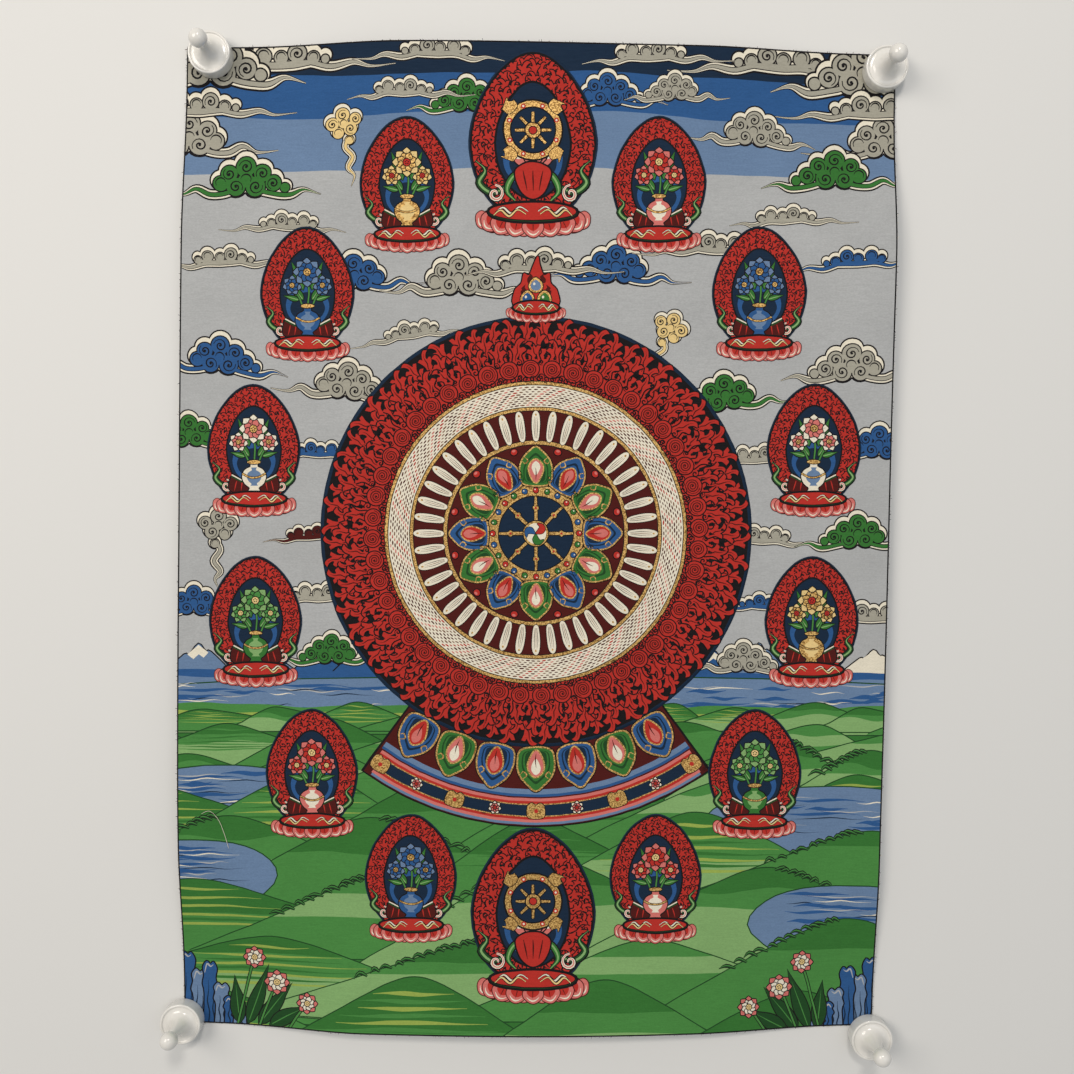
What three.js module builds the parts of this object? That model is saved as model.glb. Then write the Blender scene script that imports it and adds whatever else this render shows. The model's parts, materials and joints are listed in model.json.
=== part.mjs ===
// An embroidered thangka: one woven and embroidered panel held on a steel wall by four
// push-pin magnets, one at each corner.
//
// Millimetres, +Z up. The wall is the plane y = 0 and the thangka faces -Y. The origin is on
// the wall, at the middle of the panel's top edge. The panel lies flat on the wall round each
// magnet and stands a little off it everywhere else, in soft, uneven folds.
import * as THREE from "three";

// The panel: a cut piece of thick brocade, slightly out of square, with edges that bow outwards.
const CLOTH_THICKNESS = 1;
const CORNERS = {
  topLeft: { x: -244, z: 0.3 },
  topRight: { x: 244, z: -6.7 },
  bottomLeft: { x: -256, z: -687.2 },
  bottomRight: { x: 237, z: -686.7 },
};
const EDGE_BOWS = { top: 3.2, bottom: 4.6, left: 2.6, right: 1.4 };
const CELLS_ACROSS = 34;
const CELLS_DOWN = 48;

// How the panel hangs. It is pressed flat within FLAT_RADIUS of a magnet's middle and reaches
// its full distance from the wall RISE_RADIUS away from it.
const STAND_OFF = 7.5;
const FLAT_RADIUS = 26;
const RISE_RADIUS = 130;

// Soft ridges (height above 0) and troughs (below 0): the middle of each, the turn of its
// length from upright, half its length, half its width and its height.
const FOLDS = [
  { name: "right edge lift", x: 240, z: -130, turn: 0, length: 90, width: 48, height: 4.2 },
  { name: "left edge lift", x: -254, z: -500, turn: 0, length: 130, width: 55, height: 3.4 },
  { name: "bottom edge lift", x: -20, z: -690, turn: 90, length: 140, width: 52, height: 3.6 },
  { name: "top edge lift", x: -80, z: 0, turn: 90, length: 110, width: 46, height: 2.4 },
  { name: "pull from top left", x: -160, z: -95, turn: 42, length: 80, width: 27, height: 2.2 },
  { name: "pull from top right", x: 165, z: -110, turn: -40, length: 85, width: 30, height: -2.6 },
  { name: "pull from bottom right", x: 168, z: -600, turn: 38, length: 85, width: 30, height: -2.4 },
  { name: "pull from bottom left", x: -188, z: -600, turn: -36, length: 85, width: 30, height: 2.3 },
  { name: "long ridge", x: -74, z: -330, turn: 5, length: 230, width: 62, height: 2.4 },
  { name: "long trough", x: 92, z: -370, turn: -6, length: 210, width: 56, height: -2.6 },
];

// The magnets: a plastic body with a round base, a flare that narrows to a neck, and a ball.
const MAGNET_GAP = 0.3;
const BASE_RADIUS = 14.5;
const BASE_HEIGHT = 10.2;
const BASE_CHAMFER = 0.8;
const RIM_ROUND = 0.9;
const FLARE_RADIUS = 12.9;
const FLARE_PULL = { r: 5.0, h: 12.4 };
const NECK_RADIUS = 3.4;
const BALL_RADIUS = 6.1;
const BALL_HEIGHT = 32;
const ROUND_STEPS = 28;
const CURVE_STEPS = 5;
const MAGNETS = [
  { name: "magnet_top_left", x: -226, z: -6.4 },
  { name: "magnet_top_right", x: 235.4, z: -18 },
  { name: "magnet_bottom_left", x: -255.8, z: -684.2 },
  { name: "magnet_bottom_right", x: 234.5, z: -693.3 },
];

const MATERIALS = {
  brocade: { color: "#8f9c8c", roughness: 0.85, metalness: 0 },
  magnet_plastic: { color: "#eceae3", roughness: 0.22, metalness: 0 },
};

const material = (name) => new THREE.MeshStandardMaterial({ name, ...MATERIALS[name] });

// A point of the panel's outline square, u from left to right and v from top to bottom.
function clothPoint(u, v) {
  const { lerp } = THREE.MathUtils;
  const { topLeft, topRight, bottomLeft, bottomRight } = CORNERS;
  const bowDown = 4 * v * (1 - v);
  const bowAcross = 4 * u * (1 - u);
  const x = lerp(lerp(topLeft.x, topRight.x, u), lerp(bottomLeft.x, bottomRight.x, u), v);
  const z = lerp(lerp(topLeft.z, topRight.z, u), lerp(bottomLeft.z, bottomRight.z, u), v);
  return {
    x: x + bowDown * lerp(-EDGE_BOWS.left, EDGE_BOWS.right, u),
    z: z + bowAcross * lerp(EDGE_BOWS.top, -EDGE_BOWS.bottom, v),
  };
}

// A fold's height at a point: a smooth bump, long one way and narrow the other.
function foldHeight(fold, x, z) {
  const turn = THREE.MathUtils.degToRad(fold.turn);
  const dx = x - fold.x;
  const dz = z - fold.z;
  const along = dx * Math.sin(turn) + dz * Math.cos(turn);
  const across = dx * Math.cos(turn) - dz * Math.sin(turn);
  return fold.height * Math.exp(-((along / fold.length) ** 2) - (across / fold.width) ** 2);
}

// How far the back of the panel stands off the wall.
function standOff(x, z) {
  const free = MAGNETS.reduce((share, magnet) => {
    const distance = Math.hypot(x - magnet.x, z - magnet.z);
    return share * THREE.MathUtils.smoothstep(distance, FLAT_RADIUS, RISE_RADIUS);
  }, 1);
  const folds = FOLDS.reduce((sum, fold) => sum + foldHeight(fold, x, z), 0);
  return free * (STAND_OFF + folds);
}

// The panel: a thin box of many cells, each corner of which moves to its place on the folds.
function clothPanel() {
  const geometry = new THREE.BoxGeometry(1, 1, 1, CELLS_ACROSS, 1, CELLS_DOWN);
  const position = geometry.attributes.position;
  for (let i = 0; i < position.count; i += 1) {
    const { x, z } = clothPoint(position.getX(i) + 0.5, 0.5 - position.getZ(i));
    const front = position.getY(i) < 0 ? CLOTH_THICKNESS : 0;
    position.setXYZ(i, x, -standOff(x, z) - front, z);
  }
  geometry.computeVertexNormals();
  const mesh = new THREE.Mesh(geometry, material("brocade"));
  mesh.name = "thangka_panel";
  return mesh;
}

// One magnet, turned on a lathe, with its flat base against the panel and its ball to the front.
function magnet({ name, x, z }) {
  const neckAngle = Math.acos(NECK_RADIUS / BALL_RADIUS);
  const neckHeight = BALL_HEIGHT - BALL_RADIUS * Math.sin(neckAngle);
  const profile = new THREE.Path();
  profile.moveTo(0, 0);
  profile.lineTo(BASE_RADIUS - BASE_CHAMFER, 0);
  profile.lineTo(BASE_RADIUS, BASE_CHAMFER);
  profile.lineTo(BASE_RADIUS, BASE_HEIGHT - RIM_ROUND);
  profile.lineTo(BASE_RADIUS - RIM_ROUND, BASE_HEIGHT);
  profile.lineTo(FLARE_RADIUS, BASE_HEIGHT);
  profile.quadraticCurveTo(FLARE_PULL.r, FLARE_PULL.h, NECK_RADIUS, neckHeight);
  profile.absarc(0, BALL_HEIGHT, BALL_RADIUS, -neckAngle, Math.PI / 2, false);
  const points = profile.getPoints(CURVE_STEPS);
  points[points.length - 1].x = 0;
  const mesh = new THREE.Mesh(new THREE.LatheGeometry(points, ROUND_STEPS), material("magnet_plastic"));
  mesh.rotation.x = Math.PI;
  mesh.position.set(x, -CLOTH_THICKNESS - MAGNET_GAP, z);
  mesh.name = name;
  return mesh;
}

const thangka = new THREE.Group();
thangka.name = "embroidered_thangka";
thangka.add(clothPanel(), ...MAGNETS.map(magnet));

export default thangka;
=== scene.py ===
import cmath
import json
import math
import random

import bpy
import numpy as np
from bpy.props import FloatProperty, FloatVectorProperty, IntProperty, PointerProperty
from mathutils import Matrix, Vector, geometry, noise

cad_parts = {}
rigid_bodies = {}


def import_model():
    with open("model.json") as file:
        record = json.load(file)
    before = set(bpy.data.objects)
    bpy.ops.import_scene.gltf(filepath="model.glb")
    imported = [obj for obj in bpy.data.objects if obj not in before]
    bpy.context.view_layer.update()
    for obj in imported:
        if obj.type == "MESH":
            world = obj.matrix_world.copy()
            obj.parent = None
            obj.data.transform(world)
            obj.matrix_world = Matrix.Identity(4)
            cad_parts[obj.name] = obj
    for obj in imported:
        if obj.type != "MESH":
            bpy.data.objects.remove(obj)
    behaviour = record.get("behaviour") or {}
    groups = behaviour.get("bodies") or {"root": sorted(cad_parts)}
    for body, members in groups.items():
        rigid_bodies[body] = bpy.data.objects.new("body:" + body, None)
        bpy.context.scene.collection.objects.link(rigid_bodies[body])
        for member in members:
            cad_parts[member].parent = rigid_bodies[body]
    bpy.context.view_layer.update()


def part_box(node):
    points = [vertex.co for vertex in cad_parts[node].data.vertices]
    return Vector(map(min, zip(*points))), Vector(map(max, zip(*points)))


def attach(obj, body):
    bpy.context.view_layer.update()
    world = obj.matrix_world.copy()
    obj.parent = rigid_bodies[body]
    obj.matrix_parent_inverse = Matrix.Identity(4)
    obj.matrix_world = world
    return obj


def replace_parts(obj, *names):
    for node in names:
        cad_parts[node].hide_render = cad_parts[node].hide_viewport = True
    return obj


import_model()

bl_info = {
    "name": "Embroidered thangka",
    "version": (1, 0, 0),
    "blender": (4, 5, 0),
    "location": "View3D > Sidebar > Thangka",
    "description": "A woven and embroidered wall panel with push-pin magnets",
    "category": "Object",
}

MM = 0.001
TAU = math.tau

# The panel's outline and folds, in millimetres, as its solid has them. The wall is y = 0, the
# panel faces -Y, and the origin is on the wall at the middle of the panel's top edge.
CORNERS = {
    "top_left": -244 + 0.3j,
    "top_right": 244 - 6.7j,
    "bottom_left": -256 - 687.2j,
    "bottom_right": 237 - 686.7j,
}
EDGE_BOWS = {"top": 3.2, "bottom": 4.6, "left": 2.6, "right": 1.4}
STAND_OFF = 7.5
FLAT_RADIUS = 26
RISE_RADIUS = 130
# The middle, turn, length, width and height of each soft ridge or trough.
FOLDS = [
    (240 - 130j, 0, 90, 48, 4.2),
    (-254 - 500j, 0, 130, 55, 3.4),
    (-20 - 690j, 90, 140, 52, 3.6),
    (-80 + 0j, 90, 110, 46, 2.4),
    (-160 - 95j, 42, 80, 27, 2.2),
    (165 - 110j, -40, 85, 30, -2.6),
    (168 - 600j, 38, 85, 30, -2.4),
    (-188 - 600j, -36, 85, 30, 2.3),
    (-74 - 330j, 5, 230, 62, 2.4),
    (92 - 370j, -6, 210, 56, -2.6),
]
MAGNETS = ["magnet_top_left", "magnet_top_right", "magnet_bottom_left", "magnet_bottom_right"]


# ---------------------------------------------------------------- settings


def linear(hex_colour):
    """A colour written in sRGB hex, as the linear numbers that Blender uses."""
    parts = [int(hex_colour[i:i + 2], 16) / 255 for i in (1, 3, 5)]
    return [c / 12.92 if c <= 0.04045 else ((c + 0.055) / 1.055) ** 2.4 for c in parts]


def dye(name, description, hex_colour):
    return FloatVectorProperty(
        name=name, description=description, subtype="COLOR", min=0, max=1, default=linear(hex_colour)
    )


def millimetres(name, description, default):
    return FloatProperty(name=name, description=description, default=default * MM, unit="LENGTH")


class ThreadColours(bpy.types.PropertyGroup):
    """The dyed threads that the panel is woven and embroidered with"""

    ink: dye("Ink", "Outlines, dark flames and the cut edge", "#110e10")
    navy: dye("Navy", "Night sky and the deepest blues", "#13263b")
    royal: dye("Royal blue", "Upper sky, lakes and petals", "#2b5588")
    sky: dye("Sky blue", "Lower sky, water and highlights", "#667f9f")
    mist: dye("Mist", "The wide grey of the sky", "#abadad")
    cloud: dye("Cloud grey", "The body of the grey clouds", "#a19e90")
    cream: dye("Cream", "Cloud rims and pale petals", "#e3dcc8")
    lemon: dye("Lemon", "Warm clouds and small lights", "#e0c486")
    pink: dye("Pink", "Lotus petals and petal hearts", "#cc716a")
    red: dye("Red", "Flame grounds", "#b32f27")
    maroon: dye("Maroon", "Scroll lines and the deepest reds", "#4a1512")
    forest: dye("Forest green", "Hill lines and dark leaves", "#1d4420")
    leaf: dye("Leaf green", "The body of the hills", "#346f30")
    moss: dye("Moss green", "Hill bands", "#478440")
    pale_green: dye("Pale green", "Light hill bands", "#80a86a")
    lime: dye("Lime", "Narrow field strips", "#93a84e")
    bark: dye("Bark", "Brown dashes and rocks", "#7a5640")
    gilt: dye("Gilt thread", "Metal-wrapped thread of outlines and ornaments", "#ad8546")


class PanelSizes(bpy.types.PropertyGroup):
    """The sizes of the cloth and its drawing"""

    thickness: millimetres("Thickness", "Thickness of the woven cloth", 1.0)
    mesh_pitch: millimetres("Mesh pitch", "Spacing of the points that carry the folds", 7.0)
    back_pitch: millimetres("Back pitch", "The same spacing on the back of the cloth", 5.0)
    edge_line: millimetres("Edge line", "Width of the dark cut edge as it shows from the front", 1.0)
    lift: millimetres("Lift", "Height of the first layer of embroidery over the weave", 0.07)
    layer: millimetres("Layer", "Height of each further layer of embroidery", 0.05)
    stitch_depth: millimetres("Stitch depth", "How far the stitches go down from their tops", 0.5)
    waver: millimetres("Waver", "How far hand-guided lines stray from true", 0.5)


class MandalaSizes(bpy.types.PropertyGroup):
    """The sizes and counts of the round design in the middle"""

    radius: millimetres("Radius", "Outer radius of the flame rim", 150)
    flame_parts: IntProperty(
        name="Flame parts", description="Like parts of the flame rim", default=12, min=8
    )
    petals: IntProperty(name="Petals", description="Large lotus petals round the wheel", default=12, min=6)
    ribs: IntProperty(name="Ribs", description="Pale rib petals round the lotus", default=44, min=12)
    spokes: IntProperty(name="Spokes", description="Spokes of the wheel", default=8, min=4)


class StudioSettings(bpy.types.PropertyGroup):
    """The camera and the lamps"""

    lens: FloatProperty(name="Lens", description="Focal length", default=35.77, unit="CAMERA")
    key: FloatProperty(
        name="Key lamp", description="Power of the large soft lamp", default=33, unit="POWER"
    )
    fill: FloatProperty(name="Fill", description="Strength of the light from all round", default=0.40)


def sizes():
    return bpy.context.scene.thangka_panel


def thread(name):
    """The colour of a thread as red, green, blue and a share that is 0 for gilt and 1 for silk."""
    colour = getattr(bpy.context.scene.thangka_threads, name)
    return (*colour, 0.0 if name == "gilt" else 1.0)


# ---------------------------------------------------------------- the folds of the cloth


def smoothstep(value, low, high):
    share = min(1, max(0, (value - low) / (high - low)))
    return share * share * (3 - 2 * share)


def on_panel(u, v):
    """A point of the panel's outline square: u from left to right and v from top to bottom."""
    top = CORNERS["top_left"] * (1 - u) + CORNERS["top_right"] * u
    bottom = CORNERS["bottom_left"] * (1 - u) + CORNERS["bottom_right"] * u
    across = 4 * v * (1 - v) * (EDGE_BOWS["right"] * u - EDGE_BOWS["left"] * (1 - u))
    up = 4 * u * (1 - u) * (EDGE_BOWS["top"] * (1 - v) - EDGE_BOWS["bottom"] * v)
    return top * (1 - v) + bottom * v + complex(across, up)


def magnet_middle(name):
    low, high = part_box(name)
    return complex(low.x + high.x, low.z + high.z) / 2 / MM


MAGNET_MIDDLES = {name: magnet_middle(name) for name in MAGNETS}


def stand_off(point):
    """How far the back of the panel stands off the wall there."""
    free = 1
    for middle in MAGNET_MIDDLES.values():
        free *= smoothstep(abs(point - middle), FLAT_RADIUS, RISE_RADIUS)
    height = STAND_OFF
    for middle, turn, length, width, rise in FOLDS:
        local = (point - middle) * turned(turn)
        height += rise * math.exp(-((local.imag / length) ** 2) - (local.real / width) ** 2)
    return free * height


# ---------------------------------------------------------------- drawing tools
# Drawings are made flat, in millimetres. A point is a complex number, to the right and up. A
# drawing is a list of layers, each a closed outline and its thread, laid one over another.


def turned(degrees):
    return cmath.exp(1j * math.radians(degrees))


def oval(middle, wide, tall=None, steps=20):
    tall = wide if tall is None else tall
    angles = [TAU * i / steps for i in range(steps)]
    return [middle + complex(wide / 2 * math.cos(a), tall / 2 * math.sin(a)) for a in angles]


def curve(knots, steps=5, closed=False):
    """A smooth curve through the knots."""
    count = len(knots)
    points = []
    for i in range(count if closed else count - 1):
        near = range(i - 1, i + 3)
        a, b, c, d = (knots[k % count] if closed else knots[min(max(k, 0), count - 1)] for k in near)
        for step in range(steps):
            t = step / steps
            bend = (2 * a - 5 * b + 4 * c - d) * t * t + (3 * b - a - 3 * c + d) * t ** 3
            points.append(b + ((c - a) * t + bend) / 2)
    return points if closed else points + [knots[-1]]


def loop(*knots, steps=5):
    return curve(knots, steps, closed=True)


def spiral(middle, radius, turns=1.6, start=0, hand=1, steps=12):
    """A path that winds in to the middle."""
    count = int(turns * steps)
    shares = [i / count for i in range(count + 1)]
    return [middle + radius * (1 - 0.86 * t) * turned(start + hand * 360 * turns * t) for t in shares]


def ribbon(path, width, start=1.0, end=1.0):
    """The outline of a stroke along a path, which narrows to these shares of its width."""
    last = len(path) - 1
    left, right = [], []
    for i, point in enumerate(path):
        along = path[min(i + 1, last)] - path[max(i - 1, 0)]
        share = start + (1 - start) * smoothstep(i / last, 0, 0.4)
        share *= end + (1 - end) * smoothstep(1 - i / last, 0, 0.55)
        side = 1j * along / (abs(along) or 1) * width / 2 * share
        left.append(point + side)
        right.append(point - side)
    return left + right[::-1]


def anticlockwise(outline):
    area = sum((a.conjugate() * b).imag for a, b in zip(outline, outline[1:] + outline[:1]))
    return list(outline) if area > 0 else list(outline[::-1])


def grown(outline, amount):
    """The outline, moved outwards by that much."""
    outline = anticlockwise(outline)
    count = len(outline)
    points = []
    for i, point in enumerate(outline):
        along = outline[(i + 1) % count] - outline[i - 1]
        points.append(point - 1j * along / (abs(along) or 1) * amount)
    return points


def edged(outline, name, line=1.0, border="ink"):
    """A shape with a line of another thread round it."""
    return [(grown(outline, line), border), (outline, name)]


def outside(outline, name, reach=900):
    """A layer that covers all that lies round the outline."""
    far = [complex(x, z) * reach for x, z in ((-1, 1), (-1, -1), (1, -1), (1, 1))]
    hole = anticlockwise(outline)
    return far + [far[0], hole[0]] + hole[::-1], name


def mirrored(outline):
    return [complex(-p.real, p.imag) for p in outline]


def moved(layers, by=0j, size=1.0, degrees=0, mirror=False):
    factor = size * turned(degrees)
    return [
        ([p * factor + by for p in (mirrored(outline) if mirror else outline)], name)
        for outline, name in layers
    ]


def strokes(path, *lines):
    """Strokes along one path, one over another. Each is its thread, its width and, where it
    narrows, the shares of that width at its start and end."""
    return [(ribbon(path, width, *ends), name) for name, width, *ends in lines]


def fan(drawing, count, radius, middle=0j, first=90, sweep=360):
    """Copies of a drawing set round a middle, with its up pointing outwards."""
    layers = []
    for i in range(count):
        angle = first + sweep * i / count
        layers += moved(drawing, middle + radius * turned(angle), degrees=angle - 90)
    return layers


# ---------------------------------------------------------------- motifs


def petal(length, wide, tip=0.12):
    """A pointed petal that stands on its foot."""
    side = []
    for i in range(9):
        t = i / 8
        bulge = wide / 2 * math.sin(math.pi * t ** 0.85) ** 0.8
        side.append(complex(bulge * (1 - 0.1 * t), length * t))
    side[-1] = complex(0, length * (1 + tip))
    return side + mirrored(side[-2:0:-1])


def flame(tall=15, lean=1.0):
    """A tongue of flame that bends to one side."""
    return loop(
        -2.7 - 1j, -3.5 + 3j, (-1.9 + 0.20j * tall) + 2j, complex(-2.6 * lean, 0.62 * tall),
        complex(2.0 * lean, tall), complex(1.0 * lean, 0.70 * tall), complex(3.0, 0.42 * tall),
        3.5 + 2.6j, 2.7 - 1j, steps=4,
    )


# The outline of a forked flame and the fold down its middle, as shares of its width and height.
FORKED_OUTLINE = (
    (0.36, -0.14), (0.34, 0.06), (0.28, 0.20), (0.42, 0.34), (0.74, 0.44), (0.74, 0.44), (0.52, 0.60),
    (0.26, 0.56), (0.20, 0.66), (0.36, 0.82), (0.64, 0.92), (0.64, 0.92), (0.30, 1.02), (0.02, 0.92),
    (-0.12, 0.74), (-0.20, 0.66), (-0.36, 0.76), (-0.66, 0.72), (-0.66, 0.72), (-0.50, 0.58),
    (-0.36, 0.44), (-0.30, 0.26), (-0.36, 0.06), (-0.36, -0.14),
)
FORKED_FOLD = ((-0.16, -0.02), (-0.14, 0.18), (0.04, 0.36), (0.04, 0.54), (0.06, 0.72), (0.20, 0.88))


def forked_flame(tall, wide, lean=0.0, line=0.9):
    """A tongue of flame whose pointed tip curls over, with a hooked lick on each side."""
    body, fold = (
        [complex(wide * (x + lean * z * z), tall * z) for x, z in knots]
        for knots in (FORKED_OUTLINE, FORKED_FOLD)
    )
    return edged(loop(*body, steps=3), "red", line) + strokes(curve(fold, 3), ("maroon", 0.8, 0.5, 0.2))


def ink_drop(tall, wide):
    """The dark gap between two flames: round at the foot, with a thin tail."""
    return loop(
        0j, wide * (0.5 + 0.34j), complex(wide * 0.34, tall * 0.34), complex(wide * 0.1, tall * 0.7),
        1j * tall, complex(-wide * 0.12, tall * 0.66), complex(-wide * 0.34, tall * 0.32),
        wide * (-0.5 + 0.34j), steps=3,
    )


def snail(radius, hand):
    """A red disc with a dark line that winds in to its middle."""
    wound = spiral(0, radius * 0.86, radius / 2.1, 30, hand, 14)
    return [
        (oval(0, 2 * radius + 1.6, steps=30), "ink"), (oval(0, 2 * radius, steps=30), "red"),
        *strokes(wound, ("maroon", 0.85, 0.6, 0.8)), (oval(0, 1.3, steps=8), "ink"),
    ]


def cloud(lobes, tails, core):
    """A curling cloud: a pale crest behind, a body of scrolled lobes in front, and tails."""
    trails = [curve(tail, 6) for tail in tails]
    crest = [(c + 1.7j * (1 if c.imag > -2 else 0.3), r) for c, r in lobes]
    body = [(c - 0.4j, r) for c, r in lobes]
    layers = []
    # How much wider than a lobe it is, the width of the tails, and the share left at their ends.
    for rounds, wider, width, end, name in (
        (crest, 2, 7.0, 0.12, "ink"), (crest, 0, 5.0, 0.05, "cream"),
        (body, -1.2, 3.2, 0.02, "ink"), (body, -2.8, 2.2, 0.02, core),
    ):
        layers += [(oval(c, 2 * r + wider), name) for c, r in rounds]
        layers += [(ribbon(trail, width, 1, end), name) for trail in trails]
    for k, (c, r) in enumerate(lobes):
        hand = 1 if c.real < 0 else -1
        if r > 6.1:
            layers += strokes(spiral(c - 0.5j, r * 0.62, 1.5, 90 + 40 * k, hand), ("ink", 0.9, 0.5))
            layers.append((oval(c - 0.5j, 1.6, steps=10), "ink"))
        elif r > 4.4:
            bow = [c + 0.52 * r * turned(90 + hand * a) for a in (-80, -40, 0, 40, 80, 120)]
            layers += strokes(curve(bow, 3), ("ink", 0.9, 0.3, 0.4))
    return layers


# The lobes of each cloud, with their radius, and its tails.
CLOUD_SHAPES = {
    "heaped": (
        [(-15 - 1j, 6), (-10 + 5j, 6.4), (0 + 9j, 7.4), (10 + 5j, 6.6), (17 - 1j, 6.2), (0 + 1j, 6),
         (-6 - 3j, 7), (6 - 3j, 7.4), (24 - 4j, 4.2)],
        [(-3 - 4j, -13 - 7.5j, -22 - 8j, -30 - 4.5j, -38 - 8j, -50 - 7j),
         (3 - 4j, 15 - 7.5j, 27 - 9j, 36 - 6j, 46 - 9j)],
    ),
    "flat": (
        [(-20 + 0j, 4.6), (-12 + 3j, 5.8), (-2 + 2j, 5.2), (7 + 4j, 6.4), (16 + 1j, 5), (23 + 0j, 3.6)],
        [(-18 - 1j, -4 - 2j, 12 - 1.6j, 26 - 4.4j, 38 - 2.6j, 48 - 5.4j, 62 - 4.6j),
         (14 - 2j, 0 - 3.4j, -14 - 3.2j, -26 - 6.4j, -36 - 5j, -48 - 7.4j)],
    ),
    "rising": (
        [(-8 + 12j, 6.2), (2 + 17j, 7), (11 + 11j, 6.6), (2 + 10j, 5.2), (-3 + 5j, 6.8), (7 + 3j, 5.8),
         (-1 - 4j, 4.8)],
        [(0 - 3j, 3 - 10j, -2 - 18j, 3 - 26j, -1 - 33j, 3 - 41j)],
    ),
}


def lotus_petal(face, shade, heart, light):
    """A broad throne petal: gilt line, two blues or greens, a gilt ring and a warm heart."""
    outer = loop(
        -9 + 1j, -12.5 + 10j, -10.5 + 20j, -4.5 + 27j, 30j, 4.5 + 27j, 10.5 + 20j, 12.5 + 10j, 9 + 1j
    )
    layers = [(grown(outer, 1.9), "ink"), (grown(outer, 1.2), "gilt"), (outer, face)]
    for share, rise, name in ((0.80, 1.6, shade), (0.72, 2.0, face), (0.62, 2.2, shade)):
        layers.append(([p * share + rise * 1j for p in outer], name))
    drop = loop(-1.6 + 3j, -5.2 + 11j, -4.4 + 17j, 20.5j, 4.4 + 17j, 5.2 + 11j, 1.6 + 3j)
    layers += edged(drop, heart, 1.1, "gilt") + [([p * 0.62 + 6.5j for p in drop], light)]
    layers += strokes(curve([0 + 4j, 0.3 + 9j, -0.2 + 14j]), ("maroon", 0.8, 0.3, 0.3))
    curl = ribbon(curve([-9 + 22j, -6.5 + 19.5j, -8.8 + 17j, -10.6 + 18.6j]), 1.0, 0.4, 0.4)
    return layers + [(curl, "gilt"), (mirrored(curl), "gilt")]


def rib_petal():
    """A long pale rib with thin dark lines and a small gilt mark at its tip."""
    outline = loop(-2.0 + 0j, -3.4 + 12j, -2.7 + 21j, 24j, 2.7 + 21j, 3.4 + 12j, 2.0 + 0j, steps=4)
    layers = edged(outline, "cream", 0.55)
    for x, top, name in ((-1.5, 19, "ink"), (0, 18, "bark"), (1.5, 19, "ink")):
        layers += strokes(curve([x * 0.5 + 1j, x + 10j, x * 0.7 + top * 1j], 4), (name, 0.45, 0.6, 0.3))
    return layers + [(oval(20.6j, 1.6, 2.2, 8), "gilt")]


def bloom(middle, radius, outer, inner, heart, petals=8):
    """An open flower from the front: two rows of petals and a seeded heart."""
    wide, slim = petal(radius * 0.62, radius * 0.66, 0.03), petal(radius * 0.48, radius * 0.5, 0.03)
    vein = ribbon([radius * 0.1j, radius * 0.42j], 0.5, 0.5, 0.2)
    back = fan([*edged(wide, outer, 0.7), (vein, "maroon")], petals, radius * 0.38, middle)
    front = fan(edged(slim, inner, 0.6), petals, radius * 0.2, middle, 90 + 180 / petals)
    seeds = fan([(oval(0, radius * 0.1, steps=7), "ink")], 5, radius * 0.12, middle)
    return back + front + edged(oval(middle, radius * 0.5, steps=14), heart, 0.6) + seeds


def leaf(length, wide, face="leaf", rib="pale_green"):
    outline = petal(length, wide, 0.2)
    spine = ribbon([length * 0.08j, length * 0.55j, length * 0.95j], 0.7, 1, 0.2)
    return [*edged(outline, face, 0.7), (spine, rib)]


def petal_drawing(length, wide, face, light):
    outline = petal(length, wide)
    return [*edged(outline, face, 0.7), ([p * 0.55 + length * 0.42j for p in outline], light)]


def lotus_seat(wide):
    """The seat of a medallion: a red cushion on a row of broad pink petals."""
    shell = loop(
        -5.4 + 2j, -6.0 - 2j, -3.2 - 5.2j, 0 - 6.4j, 3.2 - 5.2j, 6.0 - 2j, 5.4 + 2j, 0 + 3.4j, steps=3
    )
    glint = curve([-3.7 - 2.6j, -2.0 - 4.2j, 0 - 4.9j, 2.0 - 4.2j, 3.7 - 2.6j], 3)
    drawn = [
        *edged(shell, "pink", 0.55, "maroon"), *strokes(glint, ("cream", 0.9, 0.3, 0.3)),
        ([complex(p.real * 0.62, p.imag * 0.62 + 1.2) for p in shell], "red"),
        *strokes([0 + 1j, 0 - 3.4j], ("maroon", 0.6, 1, 0.3)),
    ]
    layers = edged(oval(-1j, wide, 13), "maroon", 0.9)
    # The halves are the petals behind, the whole numbers those in front.
    for i in (-3.5, 3.5, -2.5, 2.5, -1.5, 1.5, -0.5, 0.5, -3, 3, -2, 2, -1, 1, 0):
        reach, size = (0.90, 0.86) if i == int(i) else (0.96, 0.8)
        angle = i / 3.5 * 74
        bend = math.radians(angle)
        at = complex(wide / 2 * reach * math.sin(bend), -0.6 - 4.6 * math.cos(bend))
        layers += moved(drawn, at, size * wide / 52, angle * 0.62)
    layers += edged(oval(1.8j, wide * 0.86, 9.4, 28), "forest", 1.3)
    layers += edged(oval(2.2j, wide * 0.84, 8.4, 28), "red", 0.6)
    hem = ((0.36, 1.6), (0.29, 4.2), (0.21, 1.2), (0.13, 4.4), (0.05, 2.2))
    for side in (-1, 1):
        for k, name in enumerate(("cream", "lemon")):
            fold = curve([complex(side * wide * (x + 0.02 * k), z - 1.4 * k) for x, z in hem])
            layers += strokes(fold, ("ink", 1.8, 0.4, 0.4), (name, 0.9, 0.4, 0.4))
    return layers


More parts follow.
